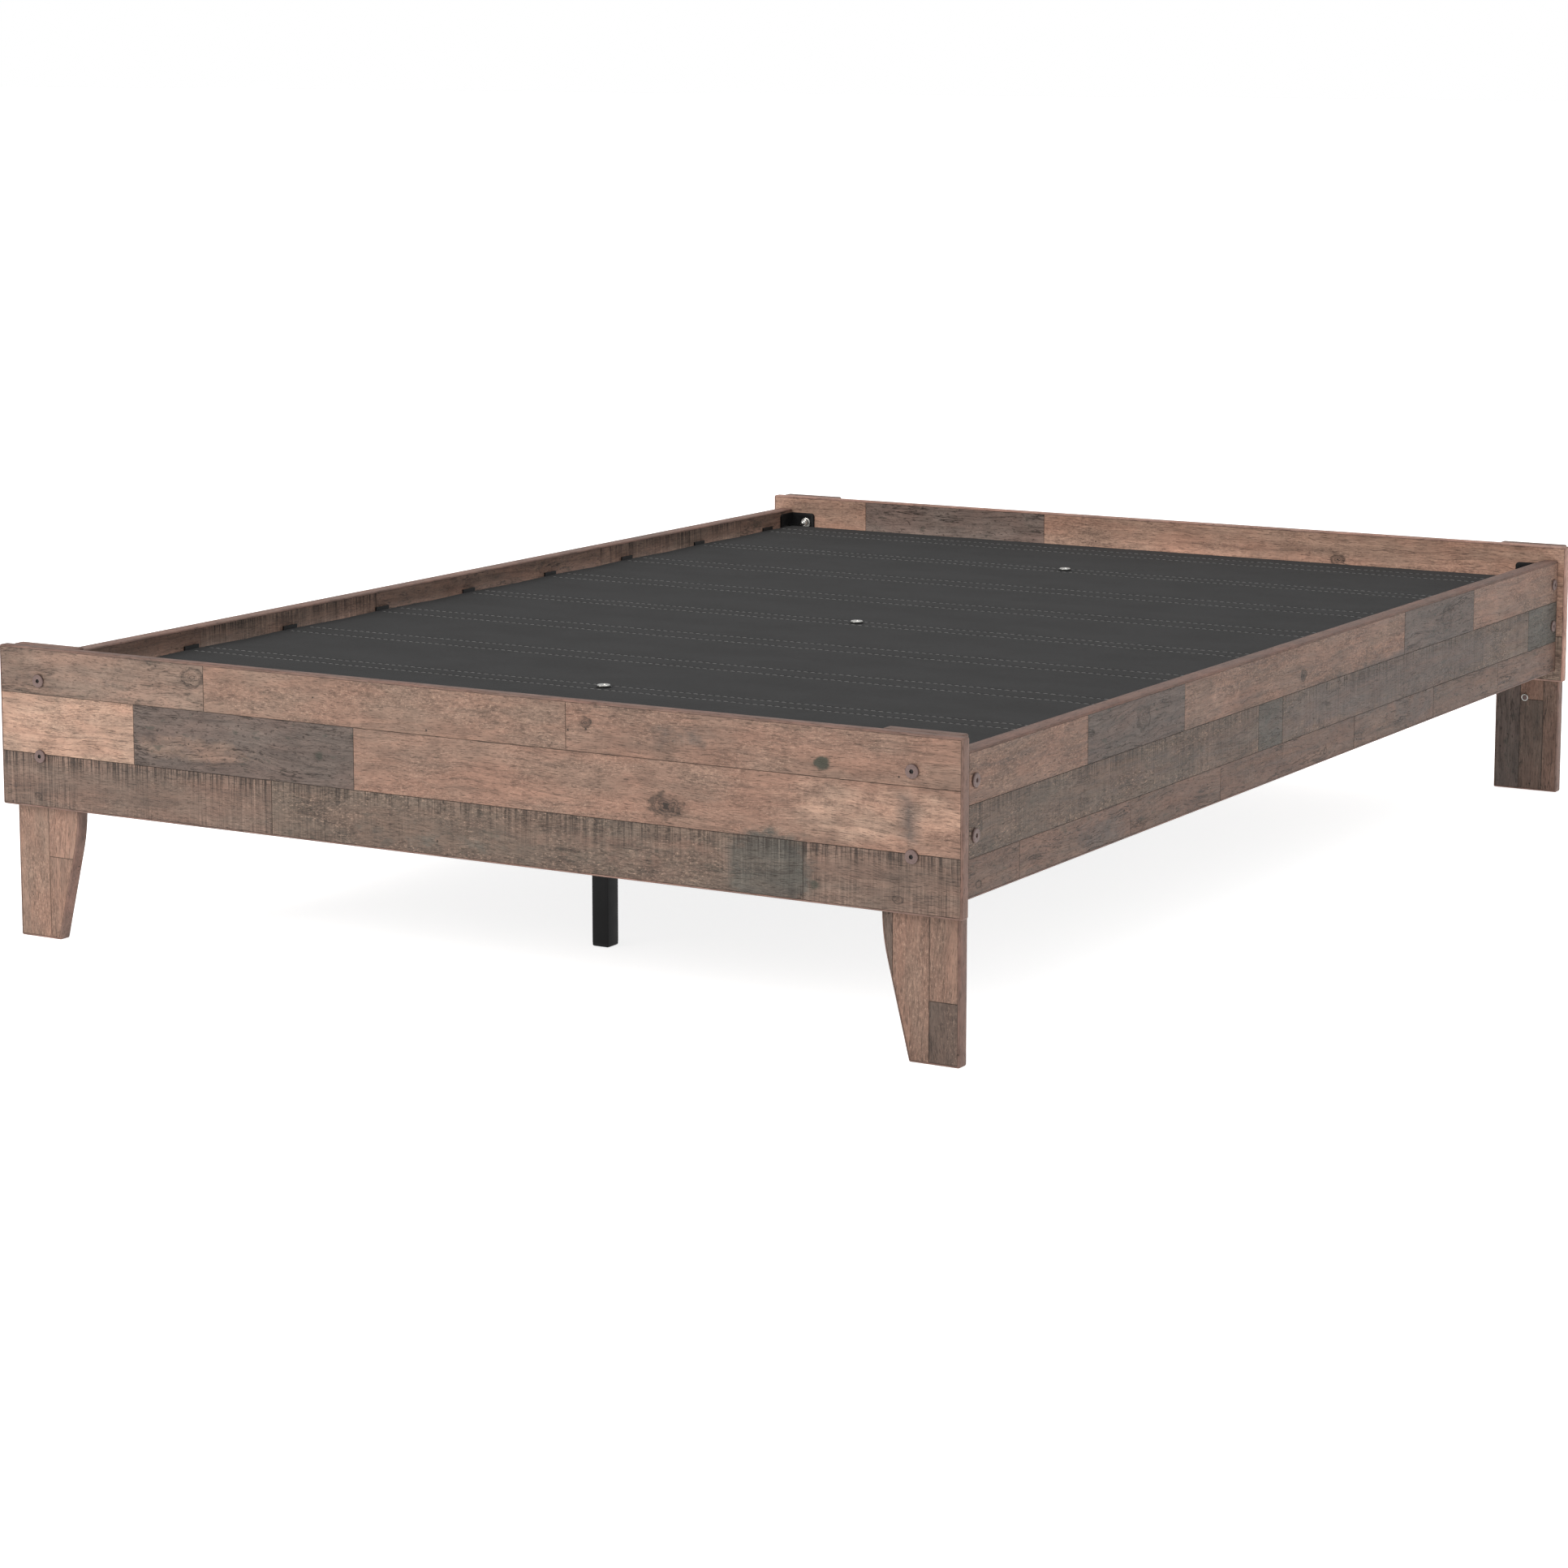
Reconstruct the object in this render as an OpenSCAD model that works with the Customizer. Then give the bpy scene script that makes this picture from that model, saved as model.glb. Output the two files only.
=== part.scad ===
// Low wooden platform bed frame. Two long side rails hang between a foot panel and a
// head panel, each panel stands on two flat wooden legs, and nine steel cross bars in a
// sewn cloth deck lie across the rails. Three of the bars stand on steel centre legs.
// Units are millimetres. +Z is up and -Y is the foot end. The origin is on the floor,
// at the middle of the whole frame.

/* [Overall] */
// Width over the foot and head panels
bed_w = 1432; // [1200:1:1700]
// Length from the front of the foot panel to the back of the head legs
bed_l = 2042; // [1700:1:2450]
// Height of the legs and of the panel tops
bed_h = 392; // [335:1:470]

/* [Wooden boards] */
// Height of the foot and head panels
panel_h = 213; // [185:1:240]
// Thickness of the foot and head panels
panel_t = 16; // [12:0.5:24]
// Thickness of the wooden legs
leg_t = 19; // [14:0.5:28]
// Width of the wooden legs where they meet the panels
leg_w = 104; // [90:1:130]
// Width of a foot leg at the floor
leg_foot_w = 67; // [50:1:88]
// Height of the tapered lower part of a foot leg
leg_taper_h = 150; // [100:1:170]
// Distance from a panel end to the outer edge of its legs
leg_inset = 11; // [4:0.5:20]
// Thickness of the side rails
rail_t = 24; // [18:0.5:32]
// Height of the side rails
rail_h = 175; // [150:1:200]
// Distance from the panel tops down to the rail tops
rail_drop = 21.5; // [10:0.5:30]
// Distance from a panel end to the outer face of a rail
rail_inset = 12; // [4:0.5:20]
// Corner radius of the board outlines
board_r = 3; // [1:0.5:6]
// Width of the shallow grooves between glued planks
seam_w = 1.2; // [0.6:0.1:2]
// Depth of those grooves
seam_d = 0.6; // [0.3:0.1:1]

/* [Corner brackets] */
// Thickness of the bracket steel
bracket_t = 3; // [2:0.5:4]
// Height of a corner bracket
bracket_h = 132; // [125:1:140]
// Distance from the panel tops down to the bracket tops
bracket_drop = 27.5; // [24:0.5:32]
// Width of the flange on the panel or leg
panel_flange_w = 45; // [40:0.5:52]
// Width of the flange on the rail
rail_flange_w = 40; // [36:0.5:46]
// Radius of the flange corners
bracket_r = 6; // [3:0.5:9]

/* [Bolts] */
// Shank diameter of the furniture bolts
bolt_d = 8; // [6:0.5:10]
// Diameter of their flat heads
bolt_head_d = 17.5; // [15:0.5:20]
// Thickness of the flat heads
bolt_head_h = 2.5; // [2:0.1:3.5]
// Gap around a shank in its hole
hole_gap = 0.4; // [0.2:0.1:1]
// Gap around a shank in its nut
thread_gap = 0.1; // [0.05:0.01:0.2]
// Distance from the rail inner face to the panel bolts
panel_bolt_in = 30; // [24:0.5:34]
// Distance from the panel tops down to the upper panel bolts
panel_bolt_drop = 44; // [40:0.5:50]
// Height between one panel bolt and the next
panel_bolt_pitch = 100; // [90:0.5:104]
// Distance from a rail end to its bolts
rail_bolt_in = 18; // [15:0.5:21]
// Distance from the rail tops down to the upper rail bolts
rail_bolt_drop = 36; // [33:0.5:40]
// Height between the two rail bolts
rail_bolt_pitch = 65; // [50:0.5:72]

/* [Cross bars] */
// Number of steel cross bars
bar_count = 9; // [8:1:10]
// Outer size of the square bar tube
bar_size = 25; // [20:0.5:30]
// Wall of the square tubes
tube_wall = 1.5; // [1.2:0.1:2.5]
// Distance from the foot leg inner face to the middle of the first bar
first_bar = 95; // [70:1:120]
// Distance from the middle of the last bar to the head panel
last_bar = 85; // [70:1:120]
// Bars that stand on a centre leg
legged_bars = [2, 5, 8];
// Steel thickness of the pockets that hold the bar ends
pocket_t = 2.5; // [2:0.5:3.5]
// Reach of a pocket from the rail
pocket_reach = 20; // [16:0.5:24]
// Height of a pocket back above the cloth
pocket_rise = 3.5; // [1:0.5:8]

/* [Cloth deck] */
// Distance from the rail tops down to the cloth
deck_drop = 27; // [20:0.5:34]
// Thickness of the upper cloth
cloth_t = 1.5; // [1:0.1:2.5]
// Thickness of the lower cloth that forms the sleeves
sleeve_t = 1; // [0.6:0.1:1.5]
// Gap between the cloth and the rails
cloth_side_gap = 10; // [8:0.5:14]
// Gap between the cloth and the panel or leg at each end
cloth_end_gap = 16; // [14:0.5:26]
// Distance from the rails to the ends of the sleeves
sleeve_end_gap = 25; // [22:0.5:34]
// Gap between a bar and the cloth around it
sleeve_gap = 0.3; // [0.2:0.1:1]

/* [Centre legs] */
// Outer size of the square centre legs
centre_leg_size = 25; // [20:0.5:32]
// Thickness of the plastic cap below a centre leg
cap_h = 5; // [3:0.5:8]
// Depth of a cap or plug inside its tube
plug_h = 14; // [10:0.5:18]
// Depth of the threaded block in the top of a centre leg
nut_block_h = 25; // [18:0.5:30]
// Diameter of the nylon washers under the centre bolts
washer_d = 20; // [18:0.5:24]
// Thickness of the nylon washers
washer_h = 1.2; // [0.8:0.1:2]

/* [Hidden] */
$fn = 48;
touch = 0.01;
half_w = bed_w / 2;
half_l = bed_l / 2;
panel_z = bed_h - panel_h;
inner_y = half_l - panel_t - leg_t;
leg_outer_x = half_w - leg_inset;
rail_outer_x = half_w - rail_inset;
rail_inner_x = rail_outer_x - rail_t;
rail_top = bed_h - rail_drop;
rail_z = rail_top - rail_h;
deck_top = rail_top - deck_drop;
cloth_under = deck_top - cloth_t;
bar_top = cloth_under - sleeve_gap;
bar_z = bar_top - bar_size;
sleeve_z = bar_z - sleeve_gap - sleeve_t;
bar_pitch = (2 * inner_y - first_bar - last_bar) / (bar_count - 1);
function bar_y(i) = -inner_y + first_bar + (i - 1) * bar_pitch;
bar_fit = 0.5;
cap_flange = 2;
cap_fit = 0.2;
bar_half_l = rail_inner_x - pocket_t - bar_fit - cap_flange;
pocket_top = deck_top + pocket_rise;
pocket_w = bar_size + 2 * (bar_fit + pocket_t);
ear_w = 15;
ear_h = 22;
screw_d = 4;
screw_head_d = 8;
screw_head_h = 2.4;
screw_l = 16;
panel_bolt_x = rail_inner_x - panel_bolt_in;
panel_bolt_z = bed_h - panel_bolt_drop;
rail_bolt_y = inner_y - rail_bolt_in;
rail_bolt_z = rail_top - rail_bolt_drop;
bracket_z = bed_h - bracket_drop - bracket_h;
nut_af = 13;
nut_dome_r = 6;
nut_h = 6.5;
nut_washer_d = 17;
nut_washer_h = 1.6;
weld_nut_h = 5;
insert_d = 11;
insert_h = 2.5;
hole_d = bolt_d + 2 * hole_gap;
shank_d = bolt_d - 2 * thread_gap;
socket_af = 5;
socket_depth = 1.8;
plank_rows_panel = [62, 141];
plank_rows_rail = [64, 127];
plank_rows_leg = [40, 74];
taper_a = atan((leg_w - leg_foot_w) / leg_taper_h);
taper_r = 250;
wood = "#8f7265";
wood_dark = "#6f6259";
steel_black = "#222224";
bolt_brown = "#6d5a57";
zinc = "#d8d8d6";
plastic_black = "#1b1b1c";
cloth_grey = "#48494a";

// ---- shared shapes ----

// Rectangle from the origin with all four corners rounded
module round_rect(w, h, r) {
    translate([r, 0]) square([w - 2 * r, h]);
    translate([0, r]) square([w, h - 2 * r]);
    for (x = [r, w - r], y = [r, h - r]) translate([x, y]) circle(r);
}

// Rectangle from the origin with only the two far corners rounded
module flange_outline(w, h, r) {
    square([w - r, h]);
    translate([0, r]) square([w, h - 2 * r]);
    for (y = [r, h - r]) translate([w - r, y]) circle(r);
}

// Stands an outline up in the XZ plane, t thick towards +Y
module upright(t) {
    translate([0, t, 0]) rotate([90, 0, 0]) linear_extrude(t) children();
}

// Mirrors what is made for the right foot corner to the corner at side sx, end sy
module at_corner(sx, sy) {
    mirror([sx < 0 ? 1 : 0, 0, 0]) mirror([0, sy > 0 ? 1 : 0, 0]) children();
}

// Hole or shank along Y from y0 to y1
module rod_y(x, z, y0, y1, d) {
    translate([x, y1, z]) rotate([90, 0, 0]) cylinder(h = y1 - y0, d = d);
}

// Hole or shank along X from x0 to x1
module rod_x(y, z, x0, x1, d) {
    translate([x0, y, z]) rotate([0, 90, 0]) cylinder(h = x1 - x0, d = d);
}

// Flat bolt head on z = 0 with a hex socket, and a shank of length l below it
module furniture_bolt(l) {
    edge = 0.8;
    difference() {
        rotate_extrude() polygon([[0, 0], [bolt_head_d / 2, 0], [bolt_head_d / 2, bolt_head_h - edge],
            [bolt_head_d / 2 - edge, bolt_head_h], [0, bolt_head_h]]);
        translate([0, 0, bolt_head_h - socket_depth])
            cylinder(h = socket_depth + 1, d = socket_af / cos(30), $fn = 6);
    }
    translate([0, 0, -l]) cylinder(h = l, d = shank_d);
}

// Domed nut on z = 0, opening downwards
module acorn_nut() {
    difference() {
        union() {
            cylinder(h = nut_h, d = nut_af / cos(30), $fn = 6);
            translate([0, 0, nut_h]) sphere(nut_dome_r);
        }
        translate([0, 0, -1]) cylinder(h = nut_h + 4, d = bolt_d);
    }
}

// Square tube standing on z = 0
module square_tube(size, l) {
    bore = size - 2 * tube_wall;
    difference() {
        translate([-size / 2, -size / 2, 0]) cube([size, size, l]);
        translate([-bore / 2, -bore / 2, -1]) cube([bore, bore, l + 2]);
    }
}

// Shallow plank grooves on both broad faces of an upright board, at the given drops
module plank_grooves(w, h, t, drops) {
    for (drop = drops, y = [0, t])
        translate([-1, y - seam_d, h - drop - seam_w / 2]) cube([w + 2, 2 * seam_d, seam_w]);
}

// ---- panels and legs ----

module end_panel(y0) {
    difference() {
        translate([-half_w, y0, panel_z]) difference() {
            upright(panel_t) round_rect(bed_w, panel_h, board_r);
            plank_grooves(bed_w, panel_h, panel_t, plank_rows_panel);
        }
        for (sx = [-1, 1], k = [0, 1])
            rod_y(sx * panel_bolt_x, panel_bolt_z - k * panel_bolt_pitch, y0 - 1, y0 + panel_t + 1, hole_d);
    }
}

module foot_panel() {
    color(wood) end_panel(-half_l);
}

module head_panel() {
    color(wood) end_panel(inner_y);
}

// Outline of a tapered leg, outer edge at x = 0 and the taper towards +x
module tapered_leg_outline() {
    steps = 6;
    top_z = leg_taper_h + taper_r * tan(taper_a / 2);
    polygon(concat(
        [[0, 0], [leg_foot_w, 0]],
        [for (k = [steps : -1 : 0]) let (a = taper_a * k / steps)
            [leg_w - taper_r + taper_r * cos(a), top_z - taper_r * sin(a)]],
        [[leg_w, bed_h], [0, bed_h]]));
}

module leg_bolt_holes(y0, count) {
    for (k = [0 : count - 1])
        rod_y(panel_bolt_x, panel_bolt_z - k * panel_bolt_pitch, y0 - 1, y0 + leg_t + 1, hole_d);
}

module leg_grooves(y0, z0, z1) {
    for (x = plank_rows_leg, y = [y0, y0 + leg_t])
        translate([leg_outer_x - x - seam_w / 2, y - seam_d, z0 - 1]) cube([seam_w, 2 * seam_d, z1 - z0 + 2]);
}

module foot_leg() {
    y0 = -half_l + panel_t;
    difference() {
        translate([leg_outer_x, y0, 0]) mirror([1, 0, 0]) upright(leg_t) tapered_leg_outline();
        leg_bolt_holes(y0, 2);
        leg_grooves(y0, 0, bed_h);
    }
}

module head_leg() {
    y0 = -half_l;
    difference() {
        translate([leg_outer_x - leg_w, y0, 0]) upright(leg_t) round_rect(leg_w, bed_h, board_r);
        leg_bolt_holes(y0, 3);
        leg_grooves(y0, 0, bed_h);
    }
}

module foot_leg_left() {
    color(wood) at_corner(-1, -1) foot_leg();
}

module foot_leg_right() {
    color(wood) at_corner(1, -1) foot_leg();
}

module head_leg_left() {
    color(wood_dark) at_corner(-1, 1) head_leg();
}

module head_leg_right() {
    color(wood_dark) at_corner(1, 1) head_leg();
}

// ---- side rails ----

// Right-hand rail
module side_rail() {
    difference() {
        translate([rail_outer_x, -inner_y, rail_z]) rotate([0, 0, 90]) difference() {
            upright(rail_t) square([2 * inner_y, rail_h]);
            plank_grooves(2 * inner_y, rail_h, rail_t, plank_rows_rail);
        }
        for (sy = [-1, 1], k = [0, 1])
            rod_x(sy * rail_bolt_y, rail_bolt_z - k * rail_bolt_pitch, rail_inner_x - 1, rail_outer_x + 1, hole_d);
        for (i = [1 : bar_count], s = [-1, 1])
            rod_x(bar_y(i) + s * screw_y, screw_z, rail_inner_x - 1, rail_inner_x + screw_l, screw_d);
    }
}

module side_rail_left() {
    color(wood) at_corner(-1, -1) side_rail();
}

module side_rail_right() {
    color(wood) side_rail();
}

// ---- corner brackets and their bolts ----

// L of two flanges in the right foot corner
module corner_bracket() {
    difference() {
        translate([rail_inner_x, -inner_y, bracket_z]) union() {
            mirror([1, 0, 0]) upright(bracket_t) flange_outline(panel_flange_w, bracket_h, bracket_r);
            rotate([0, 0, 90]) upright(bracket_t) flange_outline(rail_flange_w, bracket_h, bracket_r);
        }
        for (k = [0, 1]) {
            rod_y(panel_bolt_x, panel_bolt_z - k * panel_bolt_pitch, -inner_y - 1, -inner_y + bracket_t + 1, hole_d);
            rod_x(-rail_bolt_y, rail_bolt_z - k * rail_bolt_pitch, rail_inner_x - bracket_t - 1, rail_inner_x + 1,
                hole_d);
        }
    }
}

module corner_bracket_foot_left() {
    color(steel_black) at_corner(-1, -1) corner_bracket();
}

module corner_bracket_foot_right() {
    color(steel_black) at_corner(1, -1) corner_bracket();
}

module corner_bracket_head_left() {
    color(steel_black) at_corner(-1, 1) corner_bracket();
}

module corner_bracket_head_right() {
    color(steel_black) at_corner(1, 1) corner_bracket();
}

// Two bolts through panel, leg and bracket at one corner, heads outside
module panel_bolt_pair() {
    l = panel_t + leg_t + bracket_t + nut_washer_h + nut_h + 2;
    for (k = [0, 1])
        translate([panel_bolt_x, -half_l, panel_bolt_z - k * panel_bolt_pitch])
            rotate([90, 0, 0]) furniture_bolt(l);
}

module foot_panel_bolts() {
    color(bolt_brown) for (sx = [-1, 1]) at_corner(sx, -1) panel_bolt_pair();
}

module head_panel_bolts() {
    color(bolt_brown) for (sx = [-1, 1]) at_corner(sx, 1) panel_bolt_pair();
}

module panel_nut_pair() {
    for (k = [0, 1])
        translate([panel_bolt_x, -inner_y + bracket_t + nut_washer_h, panel_bolt_z - k * panel_bolt_pitch])
            rotate([-90, 0, 0]) acorn_nut();
}

module foot_panel_nuts() {
    color(zinc) for (sx = [-1, 1]) at_corner(sx, -1) panel_nut_pair();
}

module head_panel_nuts() {
    color(zinc) for (sx = [-1, 1]) at_corner(sx, 1) panel_nut_pair();
}

module nut_washer() {
    difference() {
        cylinder(h = nut_washer_h, d = nut_washer_d);
        translate([0, 0, -1]) cylinder(h = nut_washer_h + 2, d = hole_d);
    }
}

module panel_nut_washers() {
    color(zinc) {
        for (sx = [-1, 1], sy = [-1, 1], k = [0, 1])
            at_corner(sx, sy)
                translate([panel_bolt_x, -inner_y + bracket_t, panel_bolt_z - k * panel_bolt_pitch])
                    rotate([-90, 0, 0]) nut_washer();
    }
}

module side_rail_bolts() {
    l = rail_t + bracket_t + weld_nut_h;
    color(bolt_brown) for (sx = [-1, 1], sy = [-1, 1], k = [0, 1])
        at_corner(sx, sy)
            translate([rail_outer_x, -rail_bolt_y, rail_bolt_z - k * rail_bolt_pitch])
                rotate([0, 90, 0]) furniture_bolt(l);
}

module side_rail_nuts() {
    color(zinc) for (sx = [-1, 1], sy = [-1, 1], k = [0, 1])
        at_corner(sx, sy)
            translate([rail_inner_x - bracket_t, -rail_bolt_y, rail_bolt_z - k * rail_bolt_pitch])
                rotate([0, -90, 0]) difference() {
                    cylinder(h = weld_nut_h, d = nut_af / cos(30), $fn = 6);
                    translate([0, 0, -1]) cylinder(h = weld_nut_h + 2, d = bolt_d);
                }
}

// Spare bolt through each head leg below the panel, for a headboard bracket
module headboard_bolts() {
    color(bolt_brown) for (sx = [-1, 1])
        at_corner(sx, 1)
            translate([panel_bolt_x, -half_l, panel_bolt_z - 2 * panel_bolt_pitch])
                rotate([90, 0, 0]) furniture_bolt(leg_t + insert_h - 0.7);
}

// Low round nut on the front of the leg, open at its middle
module headboard_nuts() {
    color(zinc) for (sx = [-1, 1])
        at_corner(sx, 1)
            translate([panel_bolt_x, -half_l + leg_t, panel_bolt_z - 2 * panel_bolt_pitch])
                rotate([-90, 0, 0]) difference() {
                    cylinder(h = insert_h, d = insert_d);
                    translate([0, 0, -1]) cylinder(h = insert_h + 2, d = bolt_d);
                }
}

// ---- cross bars and the pockets that carry them ----

screw_y = pocket_w / 2 + ear_w / 2;
screw_z = bar_z - pocket_t + ear_h / 2;

module cross_bar(i) {
    legged = len([for (b = legged_bars) if (b == i) b]) > 0;
    color(steel_black) translate([0, bar_y(i), bar_z + bar_size / 2]) difference() {
        translate([-bar_half_l, 0, 0]) rotate([0, 90, 0]) square_tube(bar_size, 2 * bar_half_l);
        if (legged) translate([0, 0, -bar_size]) cylinder(h = 2 * bar_size, d = hole_d);
    }
}

// Plastic plug with a flange, closing the right end of a bar
module bar_end_cap() {
    bore = bar_size - 2 * tube_wall - 2 * cap_fit;
    translate([bar_half_l, -bar_size / 2, -bar_size / 2]) cube([cap_flange, bar_size, bar_size]);
    translate([bar_half_l - plug_h, -bore / 2, -bore / 2]) cube([plug_h + touch, bore, bore]);
}

module bar_end_caps() {
    color(plastic_black) for (i = [1 : bar_count], sx = [-1, 1])
        translate([0, bar_y(i), bar_z + bar_size / 2]) mirror([sx < 0 ? 1 : 0, 0, 0]) bar_end_cap();
}

// Open pocket on the right rail: back plate with two screw ears, seat and two cheeks
module bar_pocket() {
    seat_z = bar_z - pocket_t;
    cheek_h = bar_size - 3;
    difference() {
        union() {
            translate([rail_inner_x - pocket_t, -pocket_w / 2, seat_z])
                cube([pocket_t, pocket_w, pocket_top - seat_z]);
            translate([rail_inner_x - pocket_t, -pocket_w / 2 - ear_w, seat_z])
                cube([pocket_t, pocket_w + 2 * ear_w, ear_h]);
            translate([rail_inner_x - pocket_reach, -pocket_w / 2, seat_z])
                cube([pocket_reach, pocket_w, pocket_t]);
            for (s = [-1, 1])
                translate([rail_inner_x - pocket_reach, s * (pocket_w - pocket_t) / 2 - pocket_t / 2, seat_z])
                    cube([pocket_reach, pocket_t, cheek_h]);
        }
        for (s = [-1, 1])
            rod_x(s * screw_y, screw_z, rail_inner_x - pocket_t - 1, rail_inner_x + 1, screw_d);
    }
}

module bar_pocket_row() {
    for (i = [1 : bar_count]) translate([0, bar_y(i), 0]) bar_pocket();
}

module bar_pockets_left() {
    color(steel_black) mirror([1, 0, 0]) bar_pocket_row();
}

module bar_pockets_right() {
    color(steel_black) bar_pocket_row();
}

// Pan-head screw through a pocket ear into the right rail
module pocket_screw() {
    rod_x(0, screw_z, rail_inner_x - pocket_t, rail_inner_x + screw_l, screw_d);
    rod_x(0, screw_z, rail_inner_x - pocket_t - screw_head_h, rail_inner_x - pocket_t, screw_head_d);
}

module pocket_screw_row() {
    for (i = [1 : bar_count], s = [-1, 1]) translate([0, bar_y(i) + s * screw_y, 0]) pocket_screw();
}

module pocket_screws_left() {
    color(zinc) mirror([1, 0, 0]) pocket_screw_row();
}

module pocket_screws_right() {
    color(zinc) pocket_screw_row();
}

// ---- cloth deck ----

module centre_bolt_holes(z0, z1) {
    for (b = legged_bars) translate([0, bar_y(b), z0]) cylinder(h = z1 - z0, d = hole_d);
}

module deck_cloth() {
    half_x = rail_inner_x - cloth_side_gap;
    half_y = inner_y - cloth_end_gap;
    color(cloth_grey) difference() {
        translate([-half_x, -half_y, cloth_under]) cube([2 * half_x, 2 * half_y, cloth_t]);
        centre_bolt_holes(cloth_under - 1, deck_top + 1);
    }
}

// Lower cloth: flat under the deck cloth and dropped round each bar as a sleeve
module bar_sleeves() {
    half_x = rail_inner_x - sleeve_end_gap;
    half_y = inner_y - cloth_end_gap;
    inner = bar_size + 2 * sleeve_gap;
    outer = inner + 2 * sleeve_t;
    color(cloth_grey) difference() {
        union() {
            translate([-half_x, -half_y, cloth_under - sleeve_t]) cube([2 * half_x, 2 * half_y, sleeve_t]);
            for (i = [1 : bar_count])
                translate([-half_x, bar_y(i) - outer / 2, sleeve_z])
                    cube([2 * half_x, outer, cloth_under - sleeve_z]);
        }
        for (i = [1 : bar_count])
            translate([-half_x - 1, bar_y(i) - inner / 2, sleeve_z + sleeve_t])
                cube([2 * half_x + 2, inner, bar_size + 2 * sleeve_gap + touch]);
        centre_bolt_holes(sleeve_z - 1, sleeve_z + sleeve_t + 1);
    }
}

// ---- centre legs ----

module centre_leg(k) {
    color(steel_black) translate([0, bar_y(legged_bars[k - 1]), cap_h])
        square_tube(centre_leg_size, sleeve_z - cap_h);
}

module centre_leg_plugs() {
    bore = centre_leg_size - 2 * tube_wall - 2 * cap_fit;
    color(zinc) for (b = legged_bars)
        translate([0, bar_y(b), sleeve_z - nut_block_h]) difference() {
            translate([-bore / 2, -bore / 2, 0]) cube([bore, bore, nut_block_h]);
            translate([0, 0, -1]) cylinder(h = nut_block_h + 2, d = bolt_d);
        }
}

// Plastic cap below each centre leg, with its lower edges rounded
module centre_leg_caps() {
    bore = centre_leg_size - 2 * tube_wall - 2 * cap_fit;
    edge = cap_h / 2;
    color(plastic_black) for (b = legged_bars)
        translate([0, bar_y(b), 0]) {
            translate([-centre_leg_size / 2, -centre_leg_size / 2, edge])
                cube([centre_leg_size, centre_leg_size, cap_h - edge]);
            intersection() {
                translate([-centre_leg_size / 2 + edge, -centre_leg_size / 2, 0])
                    cube([centre_leg_size - 2 * edge, centre_leg_size, edge + touch]);
                translate([-centre_leg_size / 2, -centre_leg_size / 2 + edge, 0])
                    cube([centre_leg_size, centre_leg_size - 2 * edge, edge + touch]);
            }
            translate([-bore / 2, -bore / 2, edge]) cube([bore, bore, cap_h - edge + plug_h]);
        }
}

module centre_bolts() {
    l = deck_top + washer_h - sleeve_z + nut_block_h - 3;
    color(zinc) for (b = legged_bars)
        translate([0, bar_y(b), deck_top + washer_h]) furniture_bolt(l);
}

module centre_bolt_washers() {
    color(plastic_black) for (b = legged_bars)
        translate([0, bar_y(b), deck_top]) difference() {
            cylinder(h = washer_h, d = washer_d);
            translate([0, 0, -1]) cylinder(h = washer_h + 2, d = hole_d);
        }
}

// ---- assembly ----

foot_panel();
head_panel();
foot_leg_left();
foot_leg_right();
head_leg_left();
head_leg_right();
side_rail_left();
side_rail_right();
corner_bracket_foot_left();
corner_bracket_foot_right();
corner_bracket_head_left();
corner_bracket_head_right();
foot_panel_bolts();
head_panel_bolts();
side_rail_bolts();
foot_panel_nuts();
head_panel_nuts();
panel_nut_washers();
side_rail_nuts();
headboard_bolts();
headboard_nuts();
bar_pockets_left();
bar_pockets_right();
pocket_screws_left();
pocket_screws_right();
bar_end_caps();
deck_cloth();
bar_sleeves();
centre_leg_plugs();
centre_leg_caps();
centre_bolts();
centre_bolt_washers();
for (i = [1 : bar_count]) cross_bar(i);
for (k = [1 : len(legged_bars)]) centre_leg(k);
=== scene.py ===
"""Looks of the wooden platform bed frame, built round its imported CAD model.

The wooden boards are rebuilt as glued-up planks with their own grain, knots and saw marks. The
cloth deck gets its sleeves, sag and stitching, and the steel parts get rounded edges.
"""

import math
import random
from collections import namedtuple

import bmesh
import bpy
from mathutils import Matrix, Vector


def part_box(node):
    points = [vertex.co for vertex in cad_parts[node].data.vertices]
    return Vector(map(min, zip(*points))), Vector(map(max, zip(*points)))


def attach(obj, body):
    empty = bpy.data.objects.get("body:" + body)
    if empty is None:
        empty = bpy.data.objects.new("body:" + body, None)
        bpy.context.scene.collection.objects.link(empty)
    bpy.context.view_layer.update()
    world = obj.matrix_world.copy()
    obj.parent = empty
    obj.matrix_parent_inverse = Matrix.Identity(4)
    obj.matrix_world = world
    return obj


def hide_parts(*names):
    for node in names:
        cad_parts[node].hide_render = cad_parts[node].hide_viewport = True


MM = 0.001
TURN = 6.28  # about one full turn, in radians, for random phases
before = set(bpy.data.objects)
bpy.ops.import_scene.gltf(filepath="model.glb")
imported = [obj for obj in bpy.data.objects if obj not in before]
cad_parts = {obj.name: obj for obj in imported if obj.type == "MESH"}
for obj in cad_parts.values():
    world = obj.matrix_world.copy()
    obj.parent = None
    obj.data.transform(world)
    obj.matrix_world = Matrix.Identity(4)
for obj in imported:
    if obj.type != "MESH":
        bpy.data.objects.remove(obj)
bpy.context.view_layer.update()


# -------------------------------- node helpers


def srgb(red, green, blue):
    """A colour given as 0 to 255 screen values, in the linear values that shaders use."""
    return tuple(
        c / 12.92 if c <= 0.04045 else ((c + 0.055) / 1.055) ** 2.4
        for c in (red / 255, green / 255, blue / 255)
    )


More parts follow.
